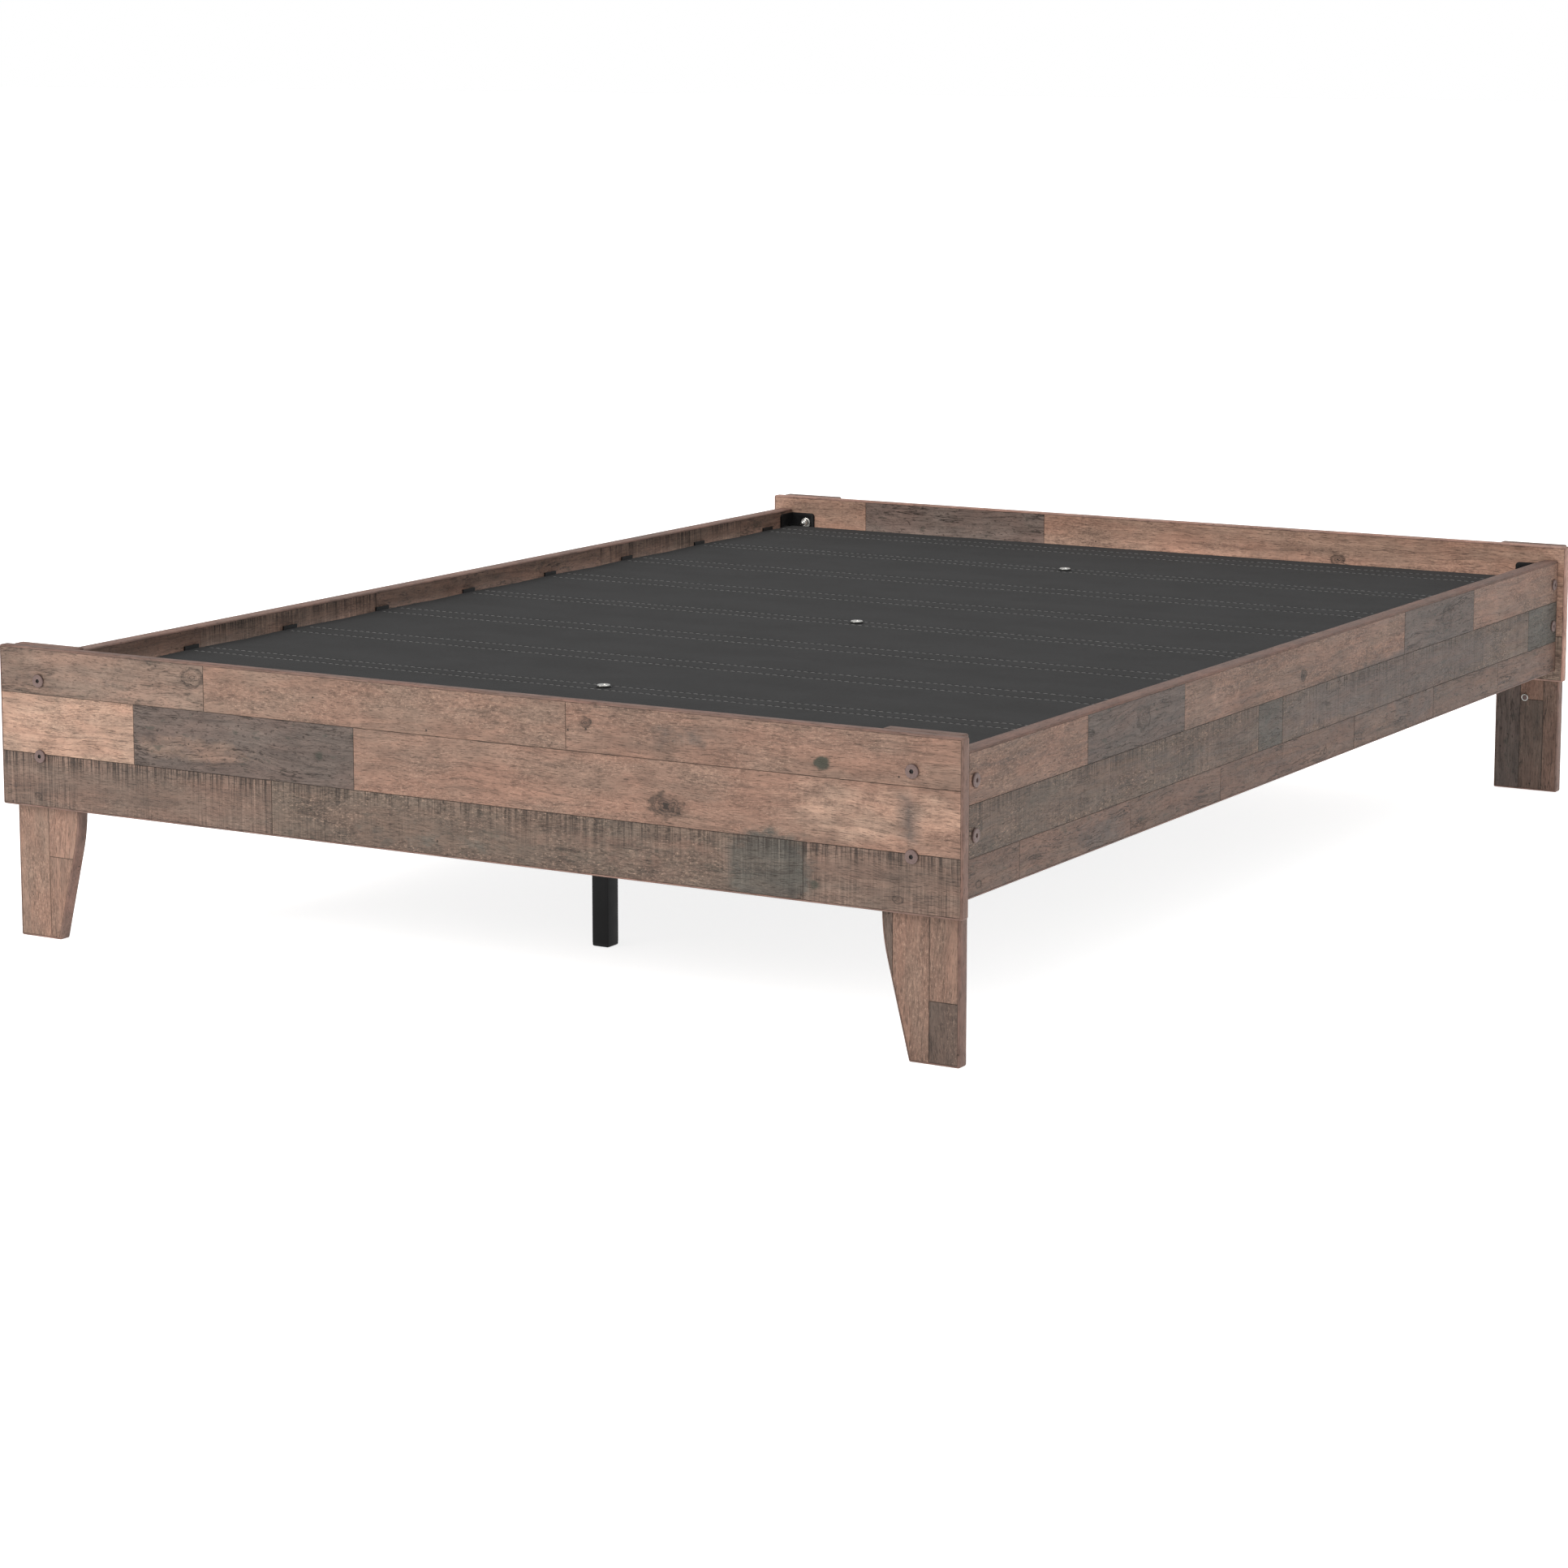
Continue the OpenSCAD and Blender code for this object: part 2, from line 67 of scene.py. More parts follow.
class Shader:
    """One material, with short calls that add a node, wire it and return its output."""

    def __init__(self, name, **settings):
        self.material = bpy.data.materials.new(name)
        self.material.use_nodes = True
        self.tree = self.material.node_tree
        self.surface = self.tree.nodes["Principled BSDF"]
        for socket, value in settings.items():
            self.put(self.surface.inputs[socket.replace("_", " ")], value)

    def put(self, socket, value):
        if isinstance(value, bpy.types.NodeSocket):
            self.tree.links.new(value, socket)
        else:
            socket.default_value = value

    def node(self, kind, output, inputs, **settings):
        made = self.tree.nodes.new(kind)
        for key, value in settings.items():
            setattr(made, key, value)
        for socket, value in inputs.items():
            self.put(made.inputs[socket], value)
        return made.outputs[output]

    def attribute(self, name):
        return self.node("ShaderNodeAttribute", "Vector", {}, attribute_name=name)

    def place(self):
        return self.node("ShaderNodeTexCoord", "Object", {})

    def split(self, vector):
        made = self.tree.nodes.new("ShaderNodeSeparateXYZ")
        self.put(made.inputs[0], vector)
        return made.outputs[0], made.outputs[1], made.outputs[2]

    def join(self, x, y, z=0.0):
        return self.node("ShaderNodeCombineXYZ", 0, {0: x, 1: y, 2: z})

    def math(self, operation, a, b=0.0):
        return self.node("ShaderNodeMath", 0, {0: a, 1: b}, operation=operation)

    def add(self, *values):
        total = values[0]
        for value in values[1:]:
            total = self.math("ADD", total, value)
        return total

    def times(self, *values):
        total = values[0]
        for value in values[1:]:
            total = self.math("MULTIPLY", total, value)
        return total

    def clamp(self, value):
        return self.node("ShaderNodeClamp", 0, {0: value})

    def scaled(self, vector, factors):
        return self.node("ShaderNodeVectorMath", 0, {0: vector, 1: factors}, operation="MULTIPLY")

    def step(self, value, low, high, first=0.0, last=1.0):
        """first below low, last above high, and a smooth step between."""
        return self.node(
            "ShaderNodeMapRange",
            0,
            {0: value, 1: low, 2: high, 3: first, 4: last},
            interpolation_type="SMOOTHSTEP",
        )

    def noise(self, vector, detail=2.0, roughness=0.5):
        inputs = {"Vector": vector, "Scale": 1.0, "Detail": detail, "Roughness": roughness}
        return self.node("ShaderNodeTexNoise", 0, inputs)

    def swing(self, vector, amount, detail=2.0, roughness=0.5):
        """Noise that swings round zero by about the given amount."""
        return self.times(self.math("SUBTRACT", self.noise(vector, detail, roughness), 0.5), 4 * amount)

    def mix(self, factor, a, b):
        return self.node("ShaderNodeMix", 2, {0: factor, 6: a, 7: b}, data_type="RGBA")

    def bump(self, height, distance, strength=1.0):
        inputs = {"Height": height, "Distance": distance, "Strength": strength}
        return self.node("ShaderNodeBump", 0, inputs)


def opaque(colour):
    """A colour with its alpha."""
    return (*colour, 1.0)


# A surface's own colour, for each unit of colour that it shows under the studio light.
SHADE = (0.620, 0.600, 0.575)


def shade(colour):
    """A surface colour that looks like the given one under the studio light."""
    return tuple(part * c for part, c in zip(SHADE, colour))


# -------------------------------- materials

TORN_WOOD = srgb(228, 198, 178)
BLOT = srgb(70, 74, 66)
GREEN_KNOT = srgb(58, 68, 58)
DARK_MARK = srgb(62, 52, 46)


def plank_wood():
    """Weathered hardwood. Each plank's own facts come from attributes on its mesh:
    fibre  place in metres: along the grain, across it, through the board
    rings  the same, squeezed and shifted so that its length counts growth rings
    knot   offset to the nearest knot or spot, and its radius
    spot   how filled the knot is, how green it is, and the height within the plank from 0 to 1
    tone   the plank's colour, and stain the colour of a patch on it
    wear   strength of saw marks, rough grit, and dark checks
    mark   strength of growth rings, strength of clouding, darkness of the joint
    patch  strength of the patch, and of the comb of saw notches along the plank's upper edge
    """
    s = Shader("plank_wood", Roughness=0.62, Specular_IOR_Level=0.3)
    fibre = s.attribute("fibre")
    saw, rough, check = s.split(s.attribute("wear"))
    ringed, clouded, joint = s.split(s.attribute("mark"))
    patch, comb, _ = s.split(s.attribute("patch"))
    fill, green, height = s.split(s.attribute("spot"))
    knot_u, knot_v, knot_r = s.split(s.attribute("knot"))

    # The grain wanders a little, and flows round a knot.
    along, across, through = s.split(fibre)
    wander = s.swing(s.scaled(fibre, (7, 16, 16)), 0.006)
    grain = s.join(along, s.add(across, wander), through)
    knot_size = s.math("MAXIMUM", knot_r, 0.0005)
    knot_u2 = s.math("POWER", s.math("ABSOLUTE", s.times(knot_u, 0.75)), 2.0)
    knot_v2 = s.math("POWER", s.math("ABSOLUTE", knot_v), 2.0)
    far = s.math("DIVIDE", s.math("SQRT", s.add(knot_u2, knot_v2)), knot_size)
    far = s.add(far, s.swing(s.scaled(fibre, (60, 80, 80)), 0.40, 3.0, 0.6))
    bend = s.math("EXPONENT", s.times(far, far, -0.16))
    ring_u, ring_v, _ = s.split(s.attribute("rings"))
    ring_v = s.add(ring_v, s.times(knot_v, bend, -0.75), wander)
    ring_at = s.math("SQRT", s.add(s.times(ring_u, ring_u), s.times(ring_v, ring_v), 1e-6))
    ring_soft = s.swing(s.join(s.times(ring_at, 150.0), s.times(along, 2.2), 0.0), 1.0, 2.5, 0.55)
    ring_wave = s.math("SINE", s.add(s.times(ring_at, 700.0), s.swing(s.scaled(fibre, (12, 40, 30)), 1.6)))
    ring_here = s.step(s.noise(s.scaled(fibre, (8, 30, 20)), 2.0), 0.42, 0.62)
    ring_lines = s.times(s.step(ring_wave, 0.45, 1.0), ring_here, ringed)

    # A patch has a ragged edge and hides some of the grit.
    ragged = s.add(patch, s.swing(s.scaled(fibre, (40, 65, 60)), 0.26, 4.0, 0.65))
    patched = s.step(ragged, 0.30, 0.75)
    rough = s.times(rough, s.math("SUBTRACT", 1.0, s.times(patched, 0.6)))

    # Light and dark streaks, from broad clouds to single fibres, and the marks of the saw.
    clouds = s.times(s.swing(s.scaled(fibre, (6, 19, 17)), 0.24, 4.0, 0.6), clouded)
    mottle = s.swing(s.scaled(fibre, (30, 62, 60)), 0.24, 3.0, 0.6)
    streaks = s.swing(s.scaled(grain, (6, 120, 60)), 0.21, 3.0, 0.6)
    fibres = s.swing(s.scaled(grain, (28, 800, 300)), 0.16, 3.0, 0.65)
    grit_map = s.swing(s.scaled(fibre, (185, 380, 300)), 1.0, 4.0, 0.75)
    grit_here = s.step(s.add(s.noise(s.scaled(fibre, (9, 22, 20)), 3.0), s.times(rough, 0.09)), 0.47, 0.66)
    grit = s.times(grit_map, s.add(0.12, s.times(grit_here, rough, 0.46)))
    ring_tone = s.times(ring_soft, ringed, 0.17)
    saw_here = s.step(s.noise(s.scaled(fibre, (7, 20, 20)), 2.0), 0.34, 0.58)
    saw_lines = s.swing(s.scaled(fibre, (330, 9, 30)), 0.55, 4.0, 0.75)
    saw_tone = s.times(saw_lines, s.add(0.25, saw_here), saw)
    light = s.add(1.0, clouds, mottle, streaks, fibres, grit, ring_tone, s.times(saw_tone, 0.95))

    # Dark marks: pores, checks, worm holes, knots, saw notches and the joint between planks.
    pores = s.step(s.noise(s.scaled(grain, (80, 1300, 700)), 1.5, 0.5), 0.60, 0.69)
    crack_map = s.noise(s.scaled(grain, (9, 100, 60)), 4.0, 0.6)
    crack_line = s.math("ABSOLUTE", s.math("SUBTRACT", crack_map, 0.5))
    crack_here = s.step(s.noise(s.scaled(fibre, (14, 34, 30)), 2.0), 0.50, 0.60)
    cracks = s.times(s.step(crack_line, 0.005, 0.022, 1.0, 0.0), crack_here, check)
    specks = s.times(s.step(s.noise(s.scaled(fibre, (120, 260, 240)), 2.0, 0.55), 0.62, 0.69), check)
    notch_here = s.step(s.noise(s.scaled(fibre, (11, 3, 20)), 2.0), 0.24, 0.40)
    notch_low = s.step(s.add(height, s.times(saw_lines, 0.12)), 0.58, 0.94)
    notches = s.times(s.step(saw_lines, -0.32, 0.06, 1.0, 0.0), notch_low, notch_here, comb)
    hole_far = s.node("ShaderNodeTexVoronoi", 0, {"Vector": fibre, "Scale": 24.0, "Randomness": 1.0})
    holes = s.step(hole_far, 0.026, 0.042, 1.0, 0.0)
    core = s.times(s.step(far, 0.60, 1.0, 1.0, 0.0), s.math("SUBTRACT", 1.0, green))
    broken = s.step(s.noise(s.scaled(fibre, (45, 45, 45)), 1.0), 0.36, 0.50, 0.25, 1.0)
    rim = s.times(s.step(far, 0.72, 0.92), s.step(far, 1.0, 1.25, 1.0, 0.0), broken)
    rim = s.times(rim, s.math("SUBTRACT", 1.0, green))
    halo = s.times(s.step(far, 0.9, 2.6, 1.0, 0.0), fill)
    pith = s.times(s.step(far, 0.12, 0.34, 1.0, 0.0), core, s.add(0.25, fill))
    core_rings = s.times(s.add(0.6, s.math("SINE", s.times(far, 20.0))), core, 0.20)
    dark = s.clamp(
        s.add(
            s.times(pores, 0.55),
            s.times(cracks, 0.90),
            s.times(specks, 0.60),
            s.times(notches, 0.95),
            s.times(holes, 0.85),
            s.times(core, fill, 0.50),
            s.times(rim, 0.62),
            s.times(halo, 0.14),
            s.times(pith, 0.45),
            core_rings,
            s.times(ring_lines, 0.36),
            s.times(joint, 0.80),
        )
    )

    # Pale marks: torn fibres where a rough surface caught less stain, and dry saw ridges.
    torn_map = s.noise(s.scaled(fibre, (95, 250, 200)), 3.0, 0.7)
    torn_line = s.math("ABSOLUTE", s.math("SUBTRACT", torn_map, 0.5))
    torn_thin = s.step(torn_line, 0.010, 0.045, 1.0, 0.0)
    torn = s.times(torn_thin, s.step(grit_map, 0.0, 0.40), grit_here, rough)
    ridges = s.times(s.step(saw_lines, 0.20, 1.0), saw_here, saw)
    pale = s.clamp(s.add(s.times(torn, 0.62), s.times(ridges, 0.28)))

    # The colour: the plank's tone, drifting between pink and grey green, then patches and marks.
    drift = s.step(s.noise(s.scaled(fibre, (9, 26, 20)), 3.0, 0.6), 0.32, 0.68)
    warm = s.mix(drift, opaque((1.04, 0.99, 0.97)), opaque((0.95, 1.01, 1.02)))
    stained = s.mix(patched, s.attribute("tone"), s.attribute("stain"))
    tinted = s.node("ShaderNodeVectorMath", 0, {0: stained, 1: warm}, operation="MULTIPLY")
    light = s.math("MAXIMUM", light, 0.35)
    lit = s.node("ShaderNodeVectorMath", 0, {0: tinted, "Scale": light}, operation="SCALE")
    blots = s.times(s.step(s.noise(s.scaled(fibre, (40, 85, 60)), 3.0, 0.6), 0.60, 0.70), check)
    moss = s.times(s.step(far, 0.5, 1.05, 0.88, 0.0), green)
    colour = s.mix(pale, lit, opaque(shade(TORN_WOOD)))
    colour = s.mix(s.times(blots, 0.55), colour, opaque(shade(BLOT)))
    colour = s.mix(moss, colour, opaque(shade(GREEN_KNOT)))
    colour = s.mix(dark, colour, opaque(shade(DARK_MARK)))
    s.put(s.surface.inputs["Base Color"], colour)

    relief = s.add(
        s.times(fibres, 1.2),
        s.times(streaks, 0.6),
        s.times(grit, 1.1),
        s.times(torn, 0.6),
        s.times(saw_tone, 0.6),
        s.times(dark, -1.6),
    )
    s.put(s.surface.inputs["Normal"], s.bump(relief, 0.0004, 0.9))
    s.put(s.surface.inputs["Roughness"], s.clamp(s.add(0.60, s.times(streaks, 0.4), s.times(torn, 0.25))))
    return s.material


def powder_coat(name, colour, roughness):
    """Baked paint on steel: a faint orange peel and slightly uneven gloss."""
    s = Shader(name, Base_Color=opaque(colour), Specular_IOR_Level=0.16)
    peel = s.noise(s.scaled(s.place(), (900, 900, 900)), 2.0)
    s.put(s.surface.inputs["Normal"], s.bump(peel, 0.00012, 0.6))
    uneven = s.swing(s.scaled(s.place(), (60, 60, 60)), 0.05, 3.0)
    s.put(s.surface.inputs["Roughness"], s.add(roughness, uneven))
    return s.material


def plated(name, colour, roughness, metallic, stain):
    """Plated or lacquered metal with fine wear; its near-black copy for bolt sockets is painted shade."""
    s = Shader(name, Metallic=metallic)
    worn = s.step(s.noise(s.scaled(s.place(), (700, 700, 700)), 4.0, 0.65), 0.48, 0.66)
    s.put(s.surface.inputs["Base Color"], s.mix(s.times(worn, 0.35), opaque(colour), opaque(stain)))
    s.put(s.surface.inputs["Roughness"], s.add(roughness, s.times(worn, 0.15)))
    grain = s.noise(s.scaled(s.place(), (2500, 2500, 2500)), 2.0)
    s.put(s.surface.inputs["Normal"], s.bump(grain, 0.00004, 0.5))
    return s.material


def moulded_plastic():
    """Black plastic with a fine moulded grain."""
    colour = opaque(srgb(22, 22, 23))
    s = Shader("black_plastic", Base_Color=colour, Roughness=0.55, Specular_IOR_Level=0.2)
    grain = s.noise(s.scaled(s.place(), (1800, 1800, 1800)), 1.0)
    s.put(s.surface.inputs["Normal"], s.bump(grain, 0.00008, 0.6))
    return s.material


def felted_cloth(name, colour, pale):
    """Non-woven cloth: matted fibres, a fine emboss and soft blotches."""
    s = Shader(name, Roughness=0.92, Specular_IOR_Level=0.12, Sheen_Weight=0.04, Sheen_Roughness=0.5)
    place = s.place()
    mottle = s.noise(s.scaled(place, (9, 14, 9)), 4.0, 0.6)
    fuzz = s.noise(s.scaled(place, (700, 1100, 900)), 3.0, 0.7)
    strands = s.noise(s.scaled(place, (160, 900, 500)), 3.0, 0.6)
    emboss = s.node("ShaderNodeTexVoronoi", 0, {"Vector": place, "Scale": 620.0, "Randomness": 0.35})
    paleness = s.add(
        s.times(s.step(mottle, 0.35, 0.65), 0.22),
        s.times(s.step(fuzz, 0.40, 0.66), 0.42),
        s.times(s.step(strands, 0.45, 0.62), 0.25),
    )
    s.put(s.surface.inputs["Base Color"], s.mix(s.clamp(paleness), opaque(colour), opaque(pale)))
    height = s.add(s.times(fuzz, 0.7), s.times(strands, 0.5), s.times(emboss, -0.4))
    s.put(s.surface.inputs["Normal"], s.bump(height, 0.00035, 0.8))
    return s.material


def twisted_thread():
    """Grey sewing thread: a fine diagonal lay of lighter and darker strands."""
    s = Shader("stitch_thread", Roughness=0.7, Sheen_Weight=0.15)
    x, y, z = s.split(s.place())
    twist = s.math("SINE", s.times(s.add(x, y, z), 9000.0))
    lay = s.add(0.5, s.times(twist, 0.5))
    colour = s.mix(lay, opaque(srgb(104, 104, 103)), opaque(srgb(146, 146, 144)))
    s.put(s.surface.inputs["Base Color"], colour)
    s.put(s.surface.inputs["Normal"], s.bump(lay, 0.00012, 0.8))
    return s.material


WOOD = plank_wood()
BLACK_STEEL = powder_coat("black_powder_coat", srgb(20, 20, 21), 0.45)
BRONZE_BOLT = plated("bronze_lacquer", srgb(104, 86, 82), 0.46, 0.45, srgb(70, 56, 52))
# Painted shade: a near-black copy of the bolts' lacquer for the faces in their hollows, such as their hex
# sockets, standing in for the shade inside them.
PAINTED_SOCKET_SHADE = plated("painted_socket_shade", srgb(30, 26, 25), 0.6, 0.3, srgb(16, 14, 13))
ZINC = plated("zinc_plate", srgb(196, 196, 192), 0.26, 1.0, srgb(120, 118, 112))
BLACK_PLASTIC = moulded_plastic()
DECK_CLOTH = felted_cloth("deck_felt", srgb(33, 33, 33), srgb(50, 50, 51))
SLEEVE_CLOTH = felted_cloth("sleeve_felt", srgb(27, 27, 28), srgb(43, 43, 44))
THREAD = twisted_thread()


# -------------------------------- plain shapes


def area_twice(points):
    """Twice the area inside an outline: above zero where it runs anticlockwise."""
    return sum(a[0] * b[1] - b[0] * a[1] for a, b in zip(points, points[1:] + points[:1]))


def inset(points, distance):
    """A convex outline, anticlockwise, moved inwards with its corners kept."""
    out = []
    for before, here, after in zip(points[-1:] + points[:-1], points, points[1:] + points[:1]):
        first = (Vector(here) - Vector(before)).normalized()
        second = (Vector(after) - Vector(here)).normalized()
        inward = Vector((-first.y - second.y, first.x + second.x))
        if inward.length < 1e-9:
            out.append(tuple(here))
            continue
        inward.normalize()
        share = inward.dot(Vector((-first.y, first.x)))
        moved = Vector(here) + inward * (distance / max(share, 0.3))
        out.append((moved.x, moved.y))
    return out


def clip(points, axis, limit, keep_above):
    """The part of a convex outline on one side of a line across one axis."""
    out = []
    sign = 1 if keep_above else -1
    for a, b in zip(points, points[1:] + points[:1]):
        side_a, side_b = sign * (a[axis] - limit), sign * (b[axis] - limit)
        if side_a >= 0:
            out.append(a)
        if side_a * side_b < 0:
            part = side_a / (side_a - side_b)
            out.append((a[0] + (b[0] - a[0]) * part, a[1] + (b[1] - a[1]) * part))
    return out


def clip_box(points, low, high):
    """The part of a convex outline inside a box, or nothing."""
    for axis in (0, 1):
        points = clip(points, axis, low[axis], True)
        points = clip(points, axis, high[axis], False) if points else points
        if not points:
            return []
    return points


def rounded(corners, radius, steps=4):
    """A convex outline, anticlockwise, with every corner turned into an arc."""
    out = []
    for before, here, after in zip(corners[-1:] + corners[:-1], corners, corners[1:] + corners[:1]):
        here = Vector(here)
        back = (Vector(before) - here).normalized()
        on = (Vector(after) - here).normalized()
        half = back.angle(on) / 2
        reach = radius / math.tan(half)
        centre = here + (back + on).normalized() * (radius / math.sin(half))
        start, end = here + back * reach - centre, here + on * reach - centre
        turn = start.angle_signed(end)
        for k in range(steps + 1):
            spoke = Matrix.Rotation(-turn * k / steps, 2) @ start
            out.append((centre.x + spoke.x, centre.y + spoke.y))
    return out


def rectangle(low, high):
    """The four corners of a box, anticlockwise."""
    return [(low[0], low[1]), (high[0], low[1]), (high[0], high[1]), (low[0], high[1])]


def new_object(name, mesh, material):
    """A mesh as an object in the scene, in one material."""
    piece = bpy.data.objects.new(name, mesh)
    bpy.context.scene.collection.objects.link(piece)
    mesh.materials.append(material)
    return piece


def stands_for(piece, slot, *nodes):
    """Makes a piece ride with the frame and stand for CAD nodes; slot is not used."""
    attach(piece, "root")
    if nodes:
        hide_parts(*nodes)
    return piece


def loft(name, rings, material, closed=False, caps=(False, False), smooth_angle=35):
    """A skin over rings of points with the same count; closed joins the last ring to the first."""
    count = len(rings[0])
    verts = [point for ring in rings for point in ring]
    faces = []
    for j in range(len(rings) - (0 if closed else 1)):
        a, b = j * count, ((j + 1) % len(rings)) * count
        faces += [(a + i, a + (i + 1) % count, b + (i + 1) % count, b + i) for i in range(count)]
    if caps[0]:
        faces.append(tuple(reversed(range(count))))
    if caps[1]:
        faces.append(tuple(range((len(rings) - 1) * count, len(rings) * count)))
    mesh = bpy.data.meshes.new(name)
    mesh.from_pydata(verts, [], faces)
    finish_mesh(mesh, smooth_angle)
    return new_object(name, mesh, material)


def finish_mesh(mesh, smooth_angle=35):
    """Outward faces, smooth except where two faces meet at more than the angle."""
    bm = bmesh.new()
    bm.from_mesh(mesh)
    bmesh.ops.recalc_face_normals(bm, faces=bm.faces)
    bm.to_mesh(mesh)
    bm.free()
    mesh.shade_smooth()
    mesh.set_sharp_from_angle(angle=math.radians(smooth_angle))


def eased_copy(node, width, material, slot, segments=2):
    """A CAD node's shape with its sharp edges eased, standing for the node."""
    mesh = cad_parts[node].data.copy()
    mesh.name = "eased_" + node
    mesh.materials.clear()
    bm = bmesh.new()
    bm.from_mesh(mesh)
    bmesh.ops.remove_doubles(bm, verts=bm.verts, dist=1e-6)
    bmesh.ops.dissolve_limit(bm, angle_limit=math.radians(0.5), verts=bm.verts, edges=bm.edges)
    limit = math.radians(40)
    sharp = [e for e in bm.edges if len(e.link_faces) == 2 and e.calc_face_angle() > limit]
    shape = dict(offset=width, segments=segments, profile=0.5, clamp_overlap=True)
    bmesh.ops.bevel(bm, geom=sharp, affect="EDGES", **shape)
    bm.to_mesh(mesh)
    bm.free()
    finish_mesh(mesh, 30)
    return stands_for(new_object("eased_" + node, mesh, material), slot, node)


def paint_shade_in_hollows(piece, material):
    """Gives the faces that meet in an inside corner, such as a socket's walls, a second material: painted
    shade in the hollows.
    """
    mesh = piece.data
    mesh.materials.append(material)
    bm = bmesh.new()
    bm.from_mesh(mesh)
    for edge in bm.edges:
        if len(edge.link_faces) == 2 and edge.calc_face_angle_signed() < math.radians(-15):
            for face in edge.link_faces:
                face.material_index = 1
    bm.to_mesh(mesh)
    bm.free()


def dress(node, material):
    """Gives a carried-over CAD node a material."""
    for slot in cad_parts[node].material_slots:
        slot.material = material


# -------------------------------- planks

# What each kind of plank has: its colour, then how strong its saw marks, rough grit, checks,
# growth rings, clouding and saw notches are.
Look = namedtuple("Look", "tone saw rough check ringed clouded comb")
KINDS = {
    "pale": Look((196, 162, 143), 0.05, 0.8, 0.08, 0.55, 0.6, 0.0),
    "tan": Look((156, 125, 110), 0.12, 0.85, 0.16, 0.55, 0.7, 0.0),
    "rough": Look((156, 127, 112), 0.12, 1.0, 0.15, 0.2, 0.7, 0.0),
    "weathered": Look((150, 126, 113), 0.0, 0.3, 0.6, 0.6, 1.0, 0.0),
    "slate": Look((117, 102, 96), 0.0, 0.15, 1.0, 1.0, 0.7, 0.0),
    "sawn": Look((131, 109, 98), 1.0, 0.35, 0.3, 0.2, 0.6, 1.0),
    "sawn_grey": Look((126, 108, 97), 0.75, 1.0, 0.5, 0.1, 1.0, 0.6),
    "green": Look((101, 96, 90), 0.2, 0.45, 0.75, 0.3, 0.7, 0.0),
    "mauve": Look((135, 109, 97), 0.15, 0.35, 0.8, 0.6, 0.9, 0.0),
    "leg_dark": Look((117, 99, 90), 0.15, 0.4, 0.6, 0.6, 0.7, 0.0),
    "band": Look((142, 113, 103), 0.0, 0.1, 0.12, 0.0, 0.35, 0.0),
}
CELL = 24 * MM  # planks are cut into cells this long, so that each can have its own nearest knot
CUT_SLACK = 0.01 * MM  # corners this near to a cut lie on it
WELD = 0.08 * MM  # corners this near to each other become one
NO_KNOT = (1.0, 1.0, 0.0)
FACTS = ("fibre", "rings", "knot", "spot", "tone", "stain", "wear", "mark", "patch")


